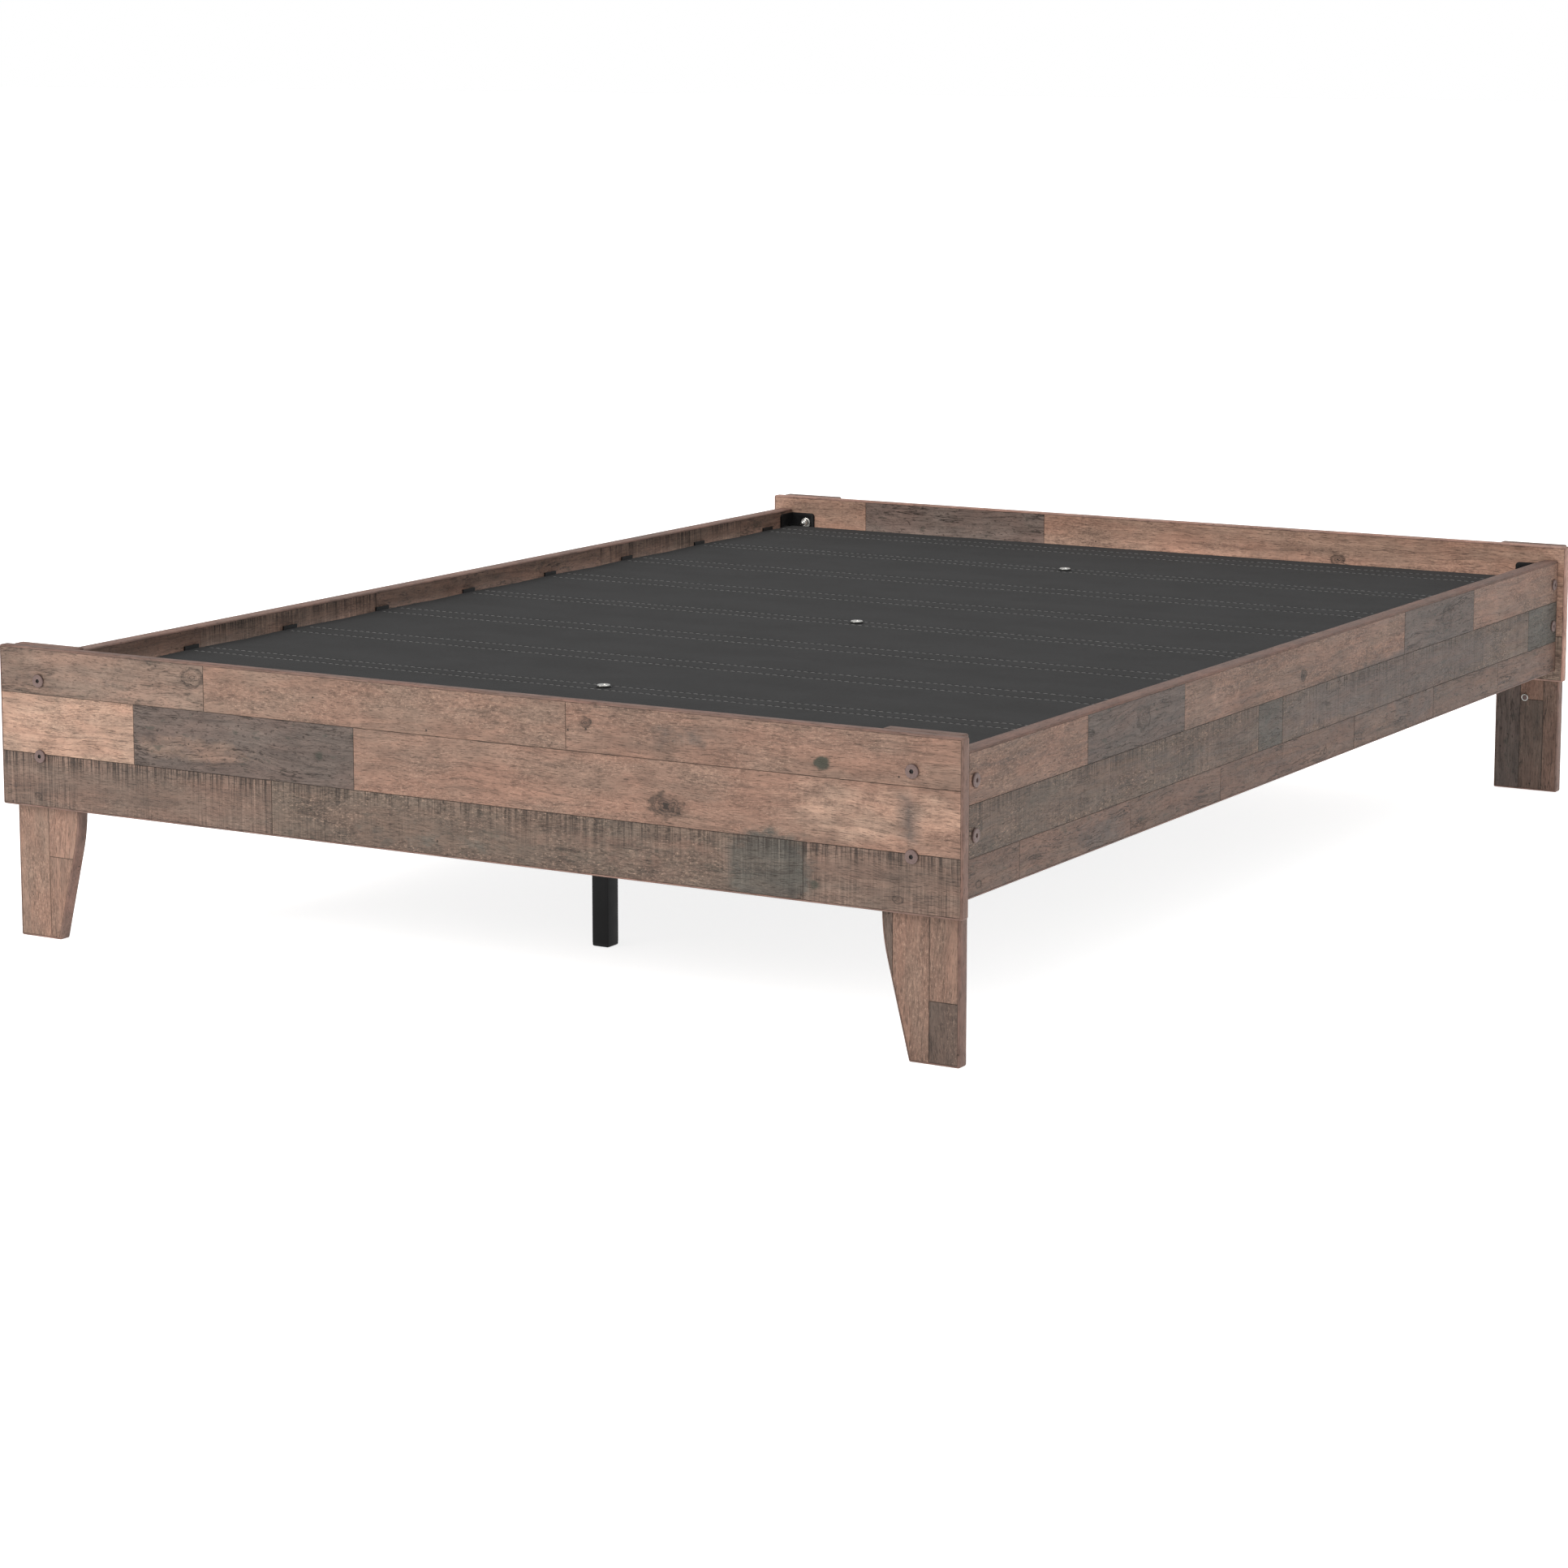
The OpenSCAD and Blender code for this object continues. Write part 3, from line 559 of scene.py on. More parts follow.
class Board:
    """A glued-up board. Its own axes are u along the grain, v across it and w through it.

    corners are its outline's corners, anticlockwise, to be rounded by radius. rows run from the
    highest v down. Each is (width, joints, kinds): its joints are distances along u, and there is
    one kind of plank more than there are joints. knots are (u, drop from the highest v, radius,
    fill, green), and stains are (u, drop, half length, half width, kind, strength). Distances
    along u start at the board's low end. gain makes the whole board lighter or darker.
    """

    edge = 2.6 * MM  # width of the solid band round the planks
    groove = 0.55 * MM  # depth of the joints between planks
    chamfer = 0.55 * MM  # width of the slope down to a joint
    uneven = 0.22 * MM  # most that one plank lies below another

    def __init__(self, name, corners, radius, thickness, rows, seed, knots=(), stains=(), gain=1.0):
        self.name, self.corners, self.radius = name, corners, radius
        self.half, self.rows, self.gain = thickness / 2, rows, gain
        self.knots, self.stains = knots, stains
        self.random = random.Random(seed)
        self.u0 = min(p[0] for p in corners)
        self.v1 = max(p[1] for p in corners)
        self.looks = [self.rim_facts()]

    def planks(self):
        """(low corner, high corner, kind) of every plank."""
        length = max(p[0] for p in self.corners) - self.u0
        top = self.v1
        for width, joints, kinds in self.rows:
            ends = [0.0, *(j * MM for j in joints), length]
            for start, end, kind in zip(ends, ends[1:], kinds):
                yield (self.u0 + start, top - width * MM), (self.u0 + end, top), kind
            top -= width * MM

    def plank_facts(self, kind, low, high, side):
        """The function that gives a plank's corners their facts."""
        look, rnd = KINDS[kind], self.random
        shift = Vector((rnd.uniform(-40, 40), rnd.uniform(-40, 40), rnd.uniform(-40, 40)))
        length, width = high[0] - low[0], high[1] - low[1]
        slope = rnd.uniform(0.02, 0.045)
        heart_u = (low[0] + high[0]) / 2 + rnd.uniform(-1.2, 1.2) * length
        heart_v = (low[1] + high[1]) / 2 + rnd.choice((-1, 1)) * rnd.uniform(0.8, 2.2) * width
        if kind == "slate":
            slope, heart_u = 0.11, low[0] + 0.62 * length
            heart_v = low[1] - 0.10 * width
        gain = self.gain * rnd.uniform(0.95, 1.05)
        tone = tuple(gain * c for c in shade(srgb(*look.tone)))
        placed = [
            (self.u0 + u * MM, self.v1 - drop * MM, radius * MM, fill, green)
            for u, drop, radius, fill, green in (self.knots if side > 0 else ())
        ]
        knots = [k for k in placed if low[0] <= k[0] <= high[0] and low[1] <= k[1] <= high[1]]
        wear, mark = (look.saw, look.rough, look.check), (look.ringed, look.clouded)

        def facts(centre_u, centre_v, joint):
            near = min(knots, key=lambda k: math.hypot(k[0] - centre_u, k[1] - centre_v), default=None)

            def at(u, v, w):
                stain, amount = tone, 0.0
                for stain_u, drop, long, wide, colour, strength in self.stains if side > 0 else ():
                    du, dv = u - self.u0 - stain_u * MM, v - self.v1 + drop * MM
                    far = math.hypot(du / (long * MM), dv / (wide * MM))
                    share = strength * max(0.0, min(1.0, 1.7 - 1.1 * far))
                    if share > amount:
                        stain, amount = tuple(gain * c for c in shade(srgb(*KINDS[colour].tone))), share
                return (
                    (u + shift.x, v + shift.y, w + shift.z),
                    (slope * (u - heart_u), v - heart_v, w),
                    (u - near[0], v - near[1], near[2]) if near else NO_KNOT,
                    (near[3] if near else 0.0, near[4] if near else 0.0, (v - low[1]) / width),
                    tone,
                    stain,
                    wear,
                    (*mark, joint),
                    (amount, look.comb, 0.0),
                )

            return at

        return facts

    def rim_facts(self):
        """The function that gives the corners of the board's edge band their facts."""
        look, shift = KINDS["band"], self.random.uniform(-40, 40)
        tone = tuple(self.gain * c for c in shade(srgb(*look.tone)))
        wear = (look.saw, look.rough, look.check)

        def facts(centre_u, centre_v, joint):
            def at(u, v, w, across=False):
                place = (v + shift, u, w + shift) if across else (u + shift, v, w + shift)
                mark = (look.ringed, look.clouded, joint)
                return place, place, NO_KNOT, (0, 0, 0), tone, tone, wear, mark, (0, 0, 0)

            return at

        return facts

    def add_plank(self, bm, low, high, kind, side):
        """One plank's face: a flat top with a small chamfer down to its joints."""
        border = clip_box(inset(self.corners, self.edge), low, high)
        if len(border) < 3 or area_twice(border) < 1e-8:
            return
        self.looks.append(self.plank_facts(kind, low, high, side))
        top_w = side * (self.half - self.random.uniform(0.0, 1.0) * self.uneven)
        low_w = side * (self.half - self.groove)
        outer = [bm.verts.new((*p, low_w)) for p in border]
        inner = [bm.verts.new((*p, top_w)) for p in inset(border, self.chamfer)]
        count, turn = len(border), 1 if side > 0 else -1
        faces = [bm.faces.new(inner[::turn])]
        for i in range(count):
            j = (i + 1) % count
            faces.append(bm.faces.new([outer[i], outer[j], inner[j], inner[i]][::turn]))
        for face in faces:
            face[bm.faces.layers.int["plank"]] = len(self.looks) - 1
            face[bm.faces.layers.float["joint"]] = 0.0 if face is faces[0] else 0.8

    def add_rim(self, bm):
        """The board's edges: a band of solid wood round it, with both its arrises rounded."""
        arc = [math.radians(a) for a in (0, 22.5, 45, 67.5, 90)]
        front = [(self.edge * (1 - math.sin(a)), self.half - self.edge * (1 - math.cos(a))) for a in arc]
        profile = [(self.edge, self.half - self.groove), *front]
        profile += [(d, -w) for d, w in reversed(profile)]
        rings = []
        for d, w in profile:
            outline = rounded(inset(self.corners, d), max(self.radius - 1.2 * d, 0.02 * MM))
            rings.append([bm.verts.new((*p, w)) for p in outline])
        count = len(rings[0])
        for a, b in zip(rings, rings[1:]):
            for i in range(count):
                j = (i + 1) % count
                face = bm.faces.new([a[i], b[i], b[j], a[j]])
                face[bm.faces.layers.float["joint"]] = 0.5 if a is rings[0] or b is rings[-1] else 0.0

    def cut_lines(self):
        """Where the board is cut along u and along v, so that all its planks share corners."""
        us = {self.u0, max(p[0] for p in self.corners)}
        vs = {self.v1, min(p[1] for p in self.corners)}
        for low, high, _ in self.planks():
            us.update((low[0], high[0]))
            vs.update((low[1], high[1]))
        for axis, marks in enumerate((sorted(us), sorted(vs))):
            for a, b in zip(marks, marks[1:]):
                parts = max(1, math.ceil((b - a) / CELL))
                for k in range(parts):
                    yield axis, a + (b - a) * k / parts

    def build(self, axes):
        """Makes the object. axes turn the board's own axes into the frame's."""
        bm = bmesh.new()
        bm.faces.layers.int.new("plank")
        bm.faces.layers.float.new("joint")
        for side in (1, -1):
            for low, high, kind in self.planks():
                self.add_plank(bm, low, high, kind, side)
        self.add_rim(bm)
        for axis, line in self.cut_lines():
            geometry = [*bm.verts, *bm.edges, *bm.faces]
            middle, normal = [0.0, 0.0, 0.0], [0.0, 0.0, 0.0]
            middle[axis], normal[axis] = line, 1.0
            bmesh.ops.bisect_plane(bm, geom=geometry, dist=CUT_SLACK, plane_co=middle, plane_no=normal)
        bmesh.ops.remove_doubles(bm, verts=bm.verts, dist=WELD)
        bmesh.ops.recalc_face_normals(bm, faces=bm.faces)
        plank, joint = bm.faces.layers.int["plank"], bm.faces.layers.float["joint"]
        facts = {key: [] for key in FACTS}
        for face in bm.faces:
            centre = face.calc_center_median()
            look = self.looks[face[plank]](centre.x, centre.y, face[joint])
            upright = (abs(face.normal.x) > abs(face.normal.y),) if face[plank] == 0 else ()
            for vert in face.verts:
                for key, value in zip(FACTS, look(*vert.co, *upright)):
                    facts[key] += value
        bm.transform(axes)
        mesh = bpy.data.meshes.new(self.name)
        bm.to_mesh(mesh)
        bm.free()
        for key, values in facts.items():
            mesh.attributes.new(key, "FLOAT_VECTOR", "CORNER").data.foreach_set("vector", values)
        mesh.shade_smooth()
        mesh.set_sharp_from_angle(angle=math.radians(30))
        return new_object(self.name, mesh, WOOD)


def facing_foot(y):
    """Board axes to the frame: u to the right, v up, w towards the foot."""
    return Matrix.Translation((0, y, 0)) @ Matrix(((1, 0, 0), (0, 0, -1), (0, 1, 0))).to_4x4()


def facing_right(x):
    """Board axes to the frame: u towards the head, v up, w to the right."""
    return Matrix.Translation((x, 0, 0)) @ Matrix(((0, 0, 1), (1, 0, 0), (0, 1, 0))).to_4x4()


def upright_facing_foot(y):
    """Board axes to the frame: u up, v to the left, w towards the foot."""
    return Matrix.Translation((0, y, 0)) @ Matrix(((0, -1, 0), (0, 0, -1), (1, 0, 0))).to_4x4()


PANEL_ROWS = [
    (62, [338, 890], ["weathered", "rough", "tan"]),
    (79, [223, 573], ["pale", "slate", "tan"]),
    (72, [444, 1221], ["sawn", "sawn_grey", "sawn"]),
]
PANEL_KNOTS = [
    (320, 20, 13, 0.12, 0.0),
    (919, 26, 6.5, 0.55, 0.0),
    (1246, 44, 10, 0.0, 1.0),
    (1032, 118, 16, 0.8, 0.0),
    (61, 198, 5, 0.15, 0.0),
    (1347, 196, 5, 0.15, 0.0),
    (520, 103, 6, 0.0, 0.8),
    (1236, 190, 8, 0.0, 0.8),
]
PANEL_STAINS = [
    (120, 40, 150, 22, "slate", 0.35),
    (1172, 178, 60, 44, "green", 1.0),
    (1050, 30, 70, 18, "slate", 0.45),
    (1361, 100, 14, 26, "slate", 0.8),
    (1330, 100, 140, 40, "pale", 0.62),
    (990, 178, 170, 34, "mauve", 0.5),
    (700, 190, 180, 26, "green", 0.42),
    (318, 114, 105, 20, "weathered", 0.62),
]
HEAD_ROWS = [
    (62, [182, 523], ["tan", "slate", "tan"]),
    (79, [610, 1180], ["rough", "weathered", "tan"]),
    (72, [300, 1010], ["sawn", "mauve", "sawn_grey"]),
]
HEAD_KNOTS = [(1050, 44, 8, 0.6, 0.0)]
RAIL_ROWS = [
    (64, [312, 591, 1336, 1609], ["tan", "slate", "tan", "slate", "tan"]),
    (63, [825, 904, 1845], ["sawn_grey", "green", "sawn_grey", "green"]),
    (48, [132, 435, 705, 1155, 1454, 1717], 7 * ["mauve"]),
]
RAIL_KNOTS = [
    (973, 45, 7, 0.7, 0.0),
    (27, 160, 5.5, 0.1, 0.0),
    (1052, 160, 5.5, 0.1, 0.0),
    (470, 30, 14, 0.1, 0.0),
    (1500, 30, 14, 0.1, 0.0),
]
RAIL_STAINS = [
    (355, 152, 80, 24, "slate", 0.7),
    (1375, 152, 80, 24, "slate", 0.7),
    (700, 36, 90, 22, "pale", 0.4),
    (560, 95, 260, 30, "slate", 0.42),
    (1300, 95, 460, 40, "slate", 0.75),
]
LEFT_RAIL_ROWS = [
    (64, [341, 754, 1363, 1798], ["mauve", "sawn", "mauve", "sawn", "mauve"]),
    (63, [520, 600, 1440], ["sawn_grey", "green", "sawn_grey", "sawn"]),
    (48, [240, 890, 1310], ["mauve", "sawn", "mauve", "mauve"]),
]
FOOT_LEG_RIGHT_ROWS = [(15, [], ["leg_dark"]), (49, [], ["tan"]), (40, [76], ["leg_dark", "tan"])]
FOOT_LEG_LEFT_ROWS = [(52, [], ["rough"]), (52, [111], ["tan", "tan"])]
HEAD_LEG_RIGHT_ROWS = [(41, [], ["slate"]), (38, [145], ["leg_dark", "tan"]), (25, [], ["mauve"])]
HEAD_LEG_LEFT_ROWS = [(30, [], ["tan"]), (44, [210], ["mauve", "tan"]), (30, [], ["leg_dark"])]


def box_2d(node, first, second, flip=1):
    """The low and high corners of a node's box along two of the frame's axes."""
    low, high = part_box(node)
    a, b = sorted((flip * low[second], flip * high[second]))
    return (low[first], a), (high[first], b)


def make_board(node, slot, through, facing, corners, radius, **looks):
    """Builds the planked board that stands for a node; through is the axis of its thickness."""
    low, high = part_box(node)
    board = Board("planked_" + node, corners, radius, high[through] - low[through], **looks)
    return stands_for(board.build(facing((low[through] + high[through]) / 2)), slot, node)


def make_panel(node, **looks):
    corners = rectangle(*box_2d(node, 0, 2))
    return make_board(node, "board_wood", 1, facing_foot, corners, 3 * MM, **looks)


def make_rail(node, **looks):
    corners = rectangle(*box_2d(node, 1, 2))
    return make_board(node, "board_wood", 0, facing_right, corners, 2 * MM, **looks)


FOOT_WIDTH = 67 * MM  # width of a foot leg at the floor
TAPER_TOP = 150 * MM  # height where its taper ends
TAPER_BEND = 250 * MM  # radius of the bend there


def leg_corners(node, tapered):
    """A leg's outline in board axes, u up and v to the left."""
    (u_low, v_low), (u_high, v_high) = box_2d(node, 2, 0, -1)
    if not tapered:
        return rectangle((u_low, v_low), (u_high, v_high))
    full = v_high - v_low
    slant = math.atan((full - FOOT_WIDTH) / TAPER_TOP)
    bend_top = TAPER_TOP + TAPER_BEND * math.tan(slant / 2)
    inner = [(u_low, FOOT_WIDTH)]
    for k in range(6, -1, -1):
        angle = slant * k / 6
        inner.append((bend_top - TAPER_BEND * math.sin(angle), full - TAPER_BEND * (1 - math.cos(angle))))
    inner.append((u_high, full))
    if v_low < 0:  # the right-hand leg: its inner edge is to its left, at high v
        points = [(u_high, v_low), *((u, v_low + reach) for u, reach in reversed(inner)), (u_low, v_low)]
    else:
        points = [(u_low, v_high), *((u, v_high - reach) for u, reach in inner), (u_high, v_high)]
    return points if area_twice(points) > 0 else points[::-1]


def make_leg(node, tapered, **looks):
    corners = leg_corners(node, tapered)
    return make_board(node, "leg_wood", 1, upright_facing_foot, corners, 2.6 * MM, **looks)


make_panel("foot_panel", rows=PANEL_ROWS, knots=PANEL_KNOTS, stains=PANEL_STAINS, seed=11)
make_panel("head_panel", rows=HEAD_ROWS, knots=HEAD_KNOTS, seed=12, gain=1.95)
make_rail("side_rail_right", rows=RAIL_ROWS, knots=RAIL_KNOTS, stains=RAIL_STAINS, seed=13, gain=0.88)
make_rail("side_rail_left", rows=LEFT_RAIL_ROWS, seed=14, gain=1.12)
make_leg("foot_leg_right", True, rows=FOOT_LEG_RIGHT_ROWS, seed=15, gain=0.88)
make_leg("foot_leg_left", True, rows=FOOT_LEG_LEFT_ROWS, seed=16, gain=1.12)
make_leg("head_leg_right", False, rows=HEAD_LEG_RIGHT_ROWS, seed=17)
make_leg("head_leg_left", False, rows=HEAD_LEG_LEFT_ROWS, seed=18)


# -------------------------------- steel tubes and caps


TUBE_WALL = 1.5 * MM


def square_ring(size, radius):
    """A square outline round the origin, with rounded corners."""
    half = size / 2
    return rounded(rectangle((-half, -half), (half, half)), radius)


def make_tube(node, size, axes, length):
    """A square tube with rounded corners, open at both ends; axes place it, with z along it."""
    outer, inner = square_ring(size, 1.1 * MM), square_ring(size - 2 * TUBE_WALL, 0.4 * MM)
    rings = [(inner, 0), (outer, 0), (outer, length), (inner, length)]
    points = [[tuple(axes @ Vector((*p, z))) for p in ring] for ring, z in rings]
    tube = loft("tube_" + node, points, BLACK_STEEL, closed=True)
    return stands_for(tube, "black_steel", node)


legs = [f"centre_leg_{k}" for k in (1, 2, 3)]
for node in legs:
    low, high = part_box(node)
    place = Matrix.Translation(((low[0] + high[0]) / 2, (low[1] + high[1]) / 2, low[2]))
    make_tube(node, high[0] - low[0], place, high[2] - low[2])

bars = [f"cross_bar_{i}" for i in range(1, 10)]
for node in bars:
    low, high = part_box(node)
    middle = (low + high) / 2
    place = Matrix.Translation((low[0], middle[1], middle[2])) @ Matrix.Rotation(math.pi / 2, 4, "Y")
    make_tube(node, high[2] - low[2], place, high[0] - low[0])


def make_leg_caps():
    """Moulded caps under the centre legs, each rounded towards the floor."""
    low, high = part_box("centre_leg_caps")
    size, flange = high[0] - low[0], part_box(legs[0])[0][2]
    plug = size - 2 * TUBE_WALL - 0.4 * MM
    soft = 2.2 * MM  # radius of the rounding at the floor
    levels = []  # (width, height) of each ring
    for k in range(5):
        angle = math.radians(22.5 * k)
        levels.append((size - 2 * soft * (1 - math.sin(angle)), soft * (1 - math.cos(angle))))
    levels += [(size, flange), (plug, flange), (plug, high[2] - 1 * MM), (plug - 2 * MM, high[2])]
    for k, leg in enumerate(legs, 1):
        leg_low, leg_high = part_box(leg)
        x, y = (leg_low[0] + leg_high[0]) / 2, (leg_low[1] + leg_high[1]) / 2
        rings = []
        for width, z in levels:
            outline = square_ring(width, min(1.6 * MM, width / 8))
            rings.append([(x + a, y + b, z) for a, b in outline])
        yield loft(f"foot_cap_{k}", rings, BLACK_PLASTIC, caps=(True, True))


for cap in make_leg_caps():
    stands_for(cap, "black_plastic", "centre_leg_caps")


# -------------------------------- brackets, pockets and fasteners

for corner in ("foot_left", "foot_right", "head_left", "head_right"):
    eased_copy("corner_bracket_" + corner, 0.5 * MM, BLACK_STEEL, "black_steel")
for side in ("left", "right"):
    eased_copy("bar_pockets_" + side, 0.35 * MM, BLACK_STEEL, "black_steel", 1)
    dress("pocket_screws_" + side, ZINC)
eased_copy("bar_end_caps", 0.4 * MM, BLACK_PLASTIC, "black_plastic", 1)
for node in ("foot_panel_bolts", "head_panel_bolts", "side_rail_bolts", "headboard_bolts"):
    bolts = eased_copy(node, 0.25 * MM, BRONZE_BOLT, "bronze_bolt")
    # Painted shade in the hollows of the bolts, such as their hex sockets, on all but the side rail bolts.
    if node != "side_rail_bolts":
        paint_shade_in_hollows(bolts, PAINTED_SOCKET_SHADE)
for node in ("foot_panel_nuts", "head_panel_nuts", "headboard_nuts", "side_rail_nuts", "panel_nut_washers"):
    eased_copy(node, 0.2 * MM, ZINC, "zinc_steel")
eased_copy("centre_bolts", 0.3 * MM, ZINC, "zinc_steel")
dress("centre_leg_plugs", ZINC)
dress("centre_bolt_washers", BLACK_PLASTIC)


# -------------------------------- cloth deck

deck_low, deck_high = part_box("deck_cloth")
CLOTH = deck_high[2] - deck_low[2]
bar_lines = [sum(c[1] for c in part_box(bar)) / 2 for bar in bars]
leg_lines = [sum(c[1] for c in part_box(leg)) / 2 for leg in legs]
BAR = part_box("cross_bar_1")[1][2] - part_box("cross_bar_1")[0][2]


def seam_offset(y):
    """The stitch lines lie closer together on the bars that stand on a leg."""
    return 16 * MM if min(abs(y - leg) for leg in leg_lines) < 1 * MM else 22 * MM


seams = [y + side * seam_offset(y) for y in bar_lines for side in (-1, 1)]
wave = random.Random(5)
WAVES = [(wave.uniform(25, 60), wave.uniform(0, TURN), wave.uniform(0.4, 1.0)) for _ in range(5)]
SAG = 1.1 * MM  # how far the deck sags between bars
SAG_REACH = 100 * MM  # distance from a bar to the lowest level
SEAM_DRAW = 0.55 * MM  # how far a seam draws the cloth in
SEAM_SPREAD = 2.2 * MM
PUCKER_SPREAD = 7 * MM


def pucker(x, seam):
    """The small uneven pull of the thread along a seam."""
    return sum(a * math.sin(f * x + p + 13 * seam) for f, p, a in WAVES) / 3


def deck_height(x, y):
    """Height of the deck above its lowest level: flat on the bars, slack between, drawn in at seams."""
    near = min(bar_lines, key=lambda bar: abs(bar - y))
    reach = max(0.0, abs(y - near) - BAR / 2) / SAG_REACH
    drop = SAG * min(1.0, reach) ** 1.5 * (1 + 0.15 * math.sin(9 * x + 5 * near))
    for seam in seams:
        away = abs(y - seam)
        if away < 12 * MM:
            draw = SEAM_DRAW + 0.12 * MM * pucker(x, seam)
            drop += draw * math.exp(-((away / SEAM_SPREAD) ** 2))
            drop += 0.18 * MM * pucker(2.3 * x, seam) * math.exp(-((away / PUCKER_SPREAD) ** 2))
    return -drop


def deck_rows():
    """The y values of the deck's mesh: close together at the seams and wide between."""
    marks = {deck_low[1], deck_high[1]}
    for seam in seams:
        marks.update(seam + step * MM for step in (-7, -4, -2.5, -1.2, 0, 1.2, 2.5, 4, 7))
    rows = sorted(marks)
    out = []
    for a, b in zip(rows, rows[1:]):
        cuts = max(1, math.ceil((b - a) / (22 * MM)))
        out += [a + (b - a) * k / cuts for k in range(cuts)]
    return [*out, rows[-1]]


def make_deck():
    """The upper cloth: a thin closed sheet with a soft edge."""
    steps = 90
    columns = [deck_low[0] + (deck_high[0] - deck_low[0]) * i / steps for i in range(steps + 1)]
    rows = deck_rows()
    verts, faces = [], []
    for level in (0.0, -CLOTH):
        verts += [(x, y, deck_high[2] + level + deck_height(x, y)) for y in rows for x in columns]
    wide, half = len(columns), len(columns) * len(rows)
    for j in range(len(rows) - 1):
        for i in range(wide - 1):
            a = j * wide + i
            faces.append((a, a + 1, a + wide + 1, a + wide))
            faces.append((half + a, half + a + wide, half + a + wide + 1, half + a + 1))
    rim = [i for i in range(wide)] + [j * wide + wide - 1 for j in range(1, len(rows))]
    rim += [(len(rows) - 1) * wide + i for i in range(wide - 2, -1, -1)]
    rim += [j * wide for j in range(len(rows) - 2, 0, -1)]
    faces += [(half + a, half + b, b, a) for a, b in zip(rim, rim[1:] + rim[:1])]
    mesh = bpy.data.meshes.new("deck_sheet")
    mesh.from_pydata(verts, [], faces)
    finish_mesh(mesh, 60)
    return new_object("deck_sheet", mesh, DECK_CLOTH)


def make_stitching():
    """Every stitch of the deck as a short raised thread that dips into the cloth at its ends."""
    stitch, gap, radius = 8.5 * MM, 2.4 * MM, 0.36 * MM
    hand = random.Random(3)
    verts, faces = [], []
    sides, rings = 6, 5
    for seam in seams:
        x = deck_low[0] + 6 * MM + hand.uniform(0, 4) * MM
        while x + stitch < deck_high[0] - 5 * MM:
            length = stitch * hand.uniform(0.92, 1.08)
            slip = hand.uniform(-0.25, 0.25) * MM
            start = len(verts)
            for k in range(rings):
                part = k / (rings - 1)
                along = x + length * part
                arch = math.sin(math.pi * part)
                centre_z = deck_high[2] + deck_height(along, seam) + (1.1 * arch - 0.55) * radius
                thick = radius * (0.5 + 0.5 * arch ** 0.5)
                centre_y = seam + slip * part
                for s in range(sides):
                    angle = 2 * math.pi * s / sides
                    y, z = centre_y + thick * math.cos(angle), centre_z + thick * math.sin(angle)
                    verts.append((along, y, z))
            for k in range(rings - 1):
                for s in range(sides):
                    a, b = start + k * sides + s, start + k * sides + (s + 1) % sides
                    faces.append((a, b, b + sides, a + sides))
            faces.append(tuple(start + s for s in reversed(range(sides))))
            faces.append(tuple(start + (rings - 1) * sides + s for s in range(sides)))
            x += length + gap
    mesh = bpy.data.meshes.new("deck_stitching")
    mesh.from_pydata(verts, [], faces)
    mesh.shade_smooth()
    return new_object("deck_stitching", mesh, THREAD)


def make_sleeves():
    """The lower cloth: flat under the deck, and dropped round each bar.

    Returns it, its width, and the length that it was cut to.
    """
    low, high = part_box("bar_sleeves")
    thick = 1.0 * MM
    top, bottom = high[2] - thick / 2, low[2] + thick / 2
    reach = BAR / 2 + 0.8 * MM
    path = [(low[1], top)]  # (y, z) along the cloth
    bend = [math.radians(a) for a in (0, 30, 60, 90)]
    soft = 3 * MM  # radius of the cloth's bends
    wall = [(reach + soft * (1 - math.sin(a)), top - soft * (1 - math.cos(a))) for a in bend]
    wall += [(reach - soft * (1 - math.cos(a)), bottom + soft * (1 - math.sin(a))) for a in bend]
    for bar in bar_lines:
        path += [(bar - away, z) for away, z in wall]
        path += [(bar + away, z) for away, z in reversed(wall)]
    path.append((high[1], top))
    length = sum(math.dist(a, b) for a, b in zip(path, path[1:]))
    steps = 40
    columns = [low[0] + (high[0] - low[0]) * i / steps for i in range(steps + 1)]
    ripple = random.Random(9)
    phases = [ripple.uniform(0, TURN) for _ in path]
    verts = []
    for (y, z), phase in zip(path, phases):
        hang = 0.15 * MM if z < top - 5 * MM else 0.045 * MM
        verts += [(x, y, z + hang * (math.sin(17 * x + phase) - 1)) for x in columns]
    wide = len(columns)
    faces = [
        (j * wide + i, j * wide + i + 1, (j + 1) * wide + i + 1, (j + 1) * wide + i)
        for j in range(len(path) - 1)
        for i in range(steps)
    ]
    mesh = bpy.data.meshes.new("sleeve_sheet")
    mesh.from_pydata(verts, [], faces)
    mesh.shade_smooth()
    sheet = new_object("sleeve_sheet", mesh, SLEEVE_CLOTH)
    solid = sheet.modifiers.new("thickness", "SOLIDIFY")
    solid.thickness, solid.offset = thick, 0.0
    return sheet, high[0] - low[0], length


deck = stands_for(make_deck(), "deck_fabric", "deck_cloth")
stitching = stands_for(make_stitching(), "deck_fabric")
sleeves, sleeve_width, sleeve_length = make_sleeves()
stands_for(sleeves, "deck_fabric", "bar_sleeves")


# -------------------------------- floor, light and camera


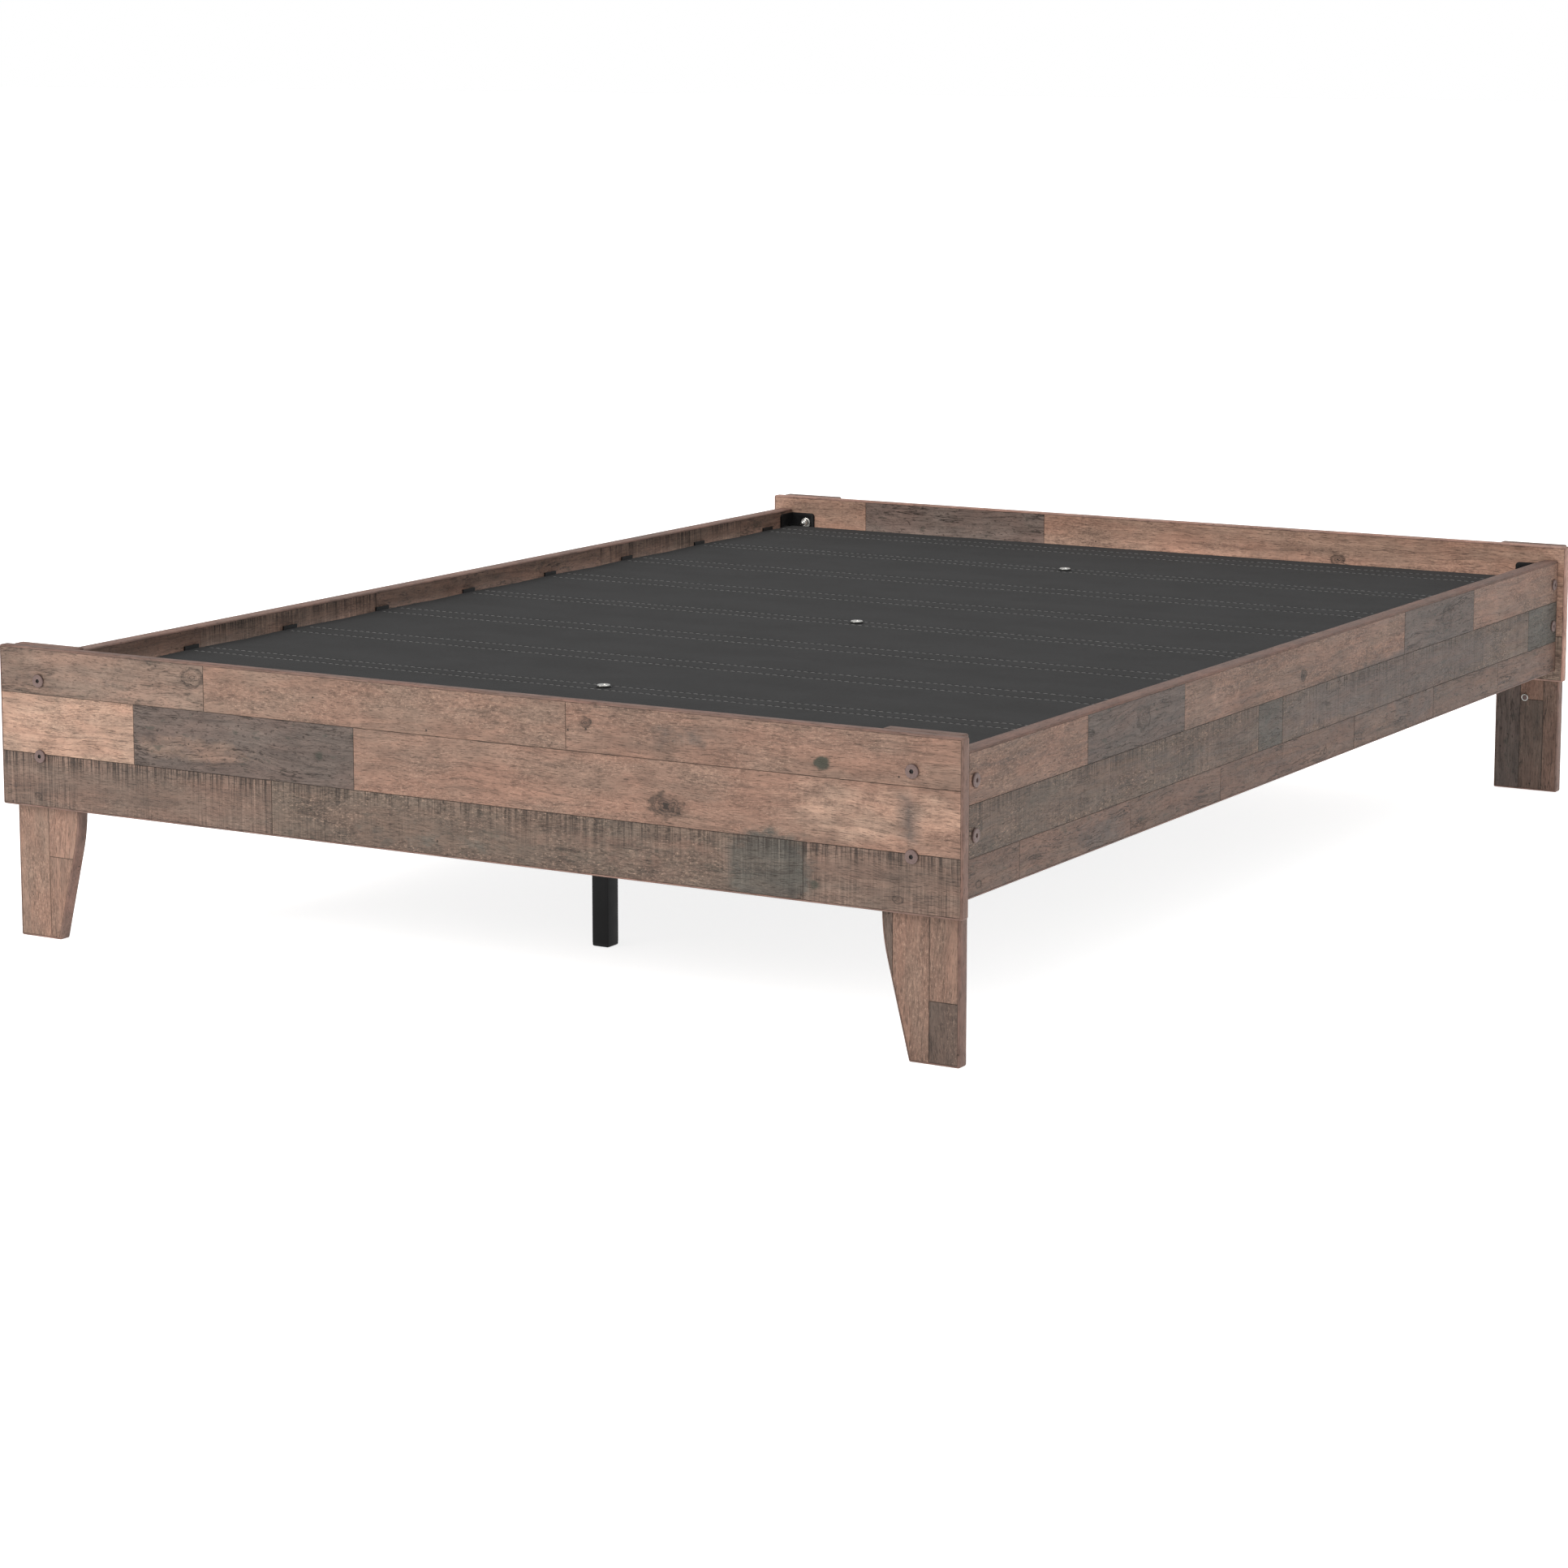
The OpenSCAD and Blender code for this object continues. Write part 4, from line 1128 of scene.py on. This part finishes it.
def make_floor():
    """A pale studio floor that glows a little, so that shadows on it stay soft and light."""
    s = Shader("studio_floor", Base_Color=opaque((0.9, 0.9, 0.9)), Roughness=0.9, Specular_IOR_Level=0.1)
    s.put(s.surface.inputs["Emission Color"], opaque((1.0, 1.0, 1.0)))
    s.put(s.surface.inputs["Emission Strength"], 0.82)
    mesh = bpy.data.meshes.new("studio_floor")
    far = 60.0  # half its width
    mesh.from_pydata([(-far, -far, 0), (far, -far, 0), (far, far, 0), (-far, far, 0)], [], [(0, 1, 2, 3)])
    floor = new_object("studio_floor", mesh, s.material)


def make_world(strength):
    """An even white surround, seen by the camera as plain white."""
    world = bpy.data.worlds.new("studio")
    bpy.context.scene.world = world
    world.use_nodes = True
    tree = world.node_tree
    background = tree.nodes["Background"]
    background.inputs["Color"].default_value = (1.0, 1.0, 1.0, 1.0)
    path = tree.nodes.new("ShaderNodeLightPath")
    mix = tree.nodes.new("ShaderNodeMapRange")
    mix.inputs["To Min"].default_value = strength
    mix.inputs["To Max"].default_value = 1.0
    tree.links.new(path.outputs["Is Camera Ray"], mix.inputs["Value"])
    tree.links.new(mix.outputs[0], background.inputs["Strength"])


def area_light(name, place, target, size, power, colour):
    """A round soft light that faces its target."""
    lamp = bpy.data.lights.new(name, "AREA")
    lamp.shape, lamp.size, lamp.energy, lamp.color = "DISK", size, power, colour
    piece = bpy.data.objects.new(name, lamp)
    bpy.context.scene.collection.objects.link(piece)
    piece.location = place
    piece.rotation_euler = (Vector(target) - Vector(place)).to_track_quat("-Z", "Y").to_euler()


def make_camera():
    """The photograph's view: from the right of the foot end, a little above the bed."""
    data = bpy.data.cameras.new("camera")
    data.lens, data.sensor_width = 93.7, 36.0
    data.shift_y = -0.08
    camera = bpy.data.objects.new("camera", data)
    bpy.context.scene.collection.objects.link(camera)
    camera.location = (2.8528, -5.0738, 1.1902)
    camera.rotation_euler = (math.radians(90 - 8.770), 0.0, math.radians(30.355))
    bpy.context.scene.camera = camera


make_floor()
make_world(0.70)
area_light("key", (-3.2, -5.5, 3.4), (0.0, -0.3, 0.2), 3.0, 210.0, (1.0, 0.95, 0.91))
area_light("top", (0.4, 0.6, 4.6), (0.0, 0.0, 0.3), 3.5, 60.0, (1.0, 0.99, 0.98))
make_camera()
bpy.context.scene.view_settings.view_transform = "Standard"
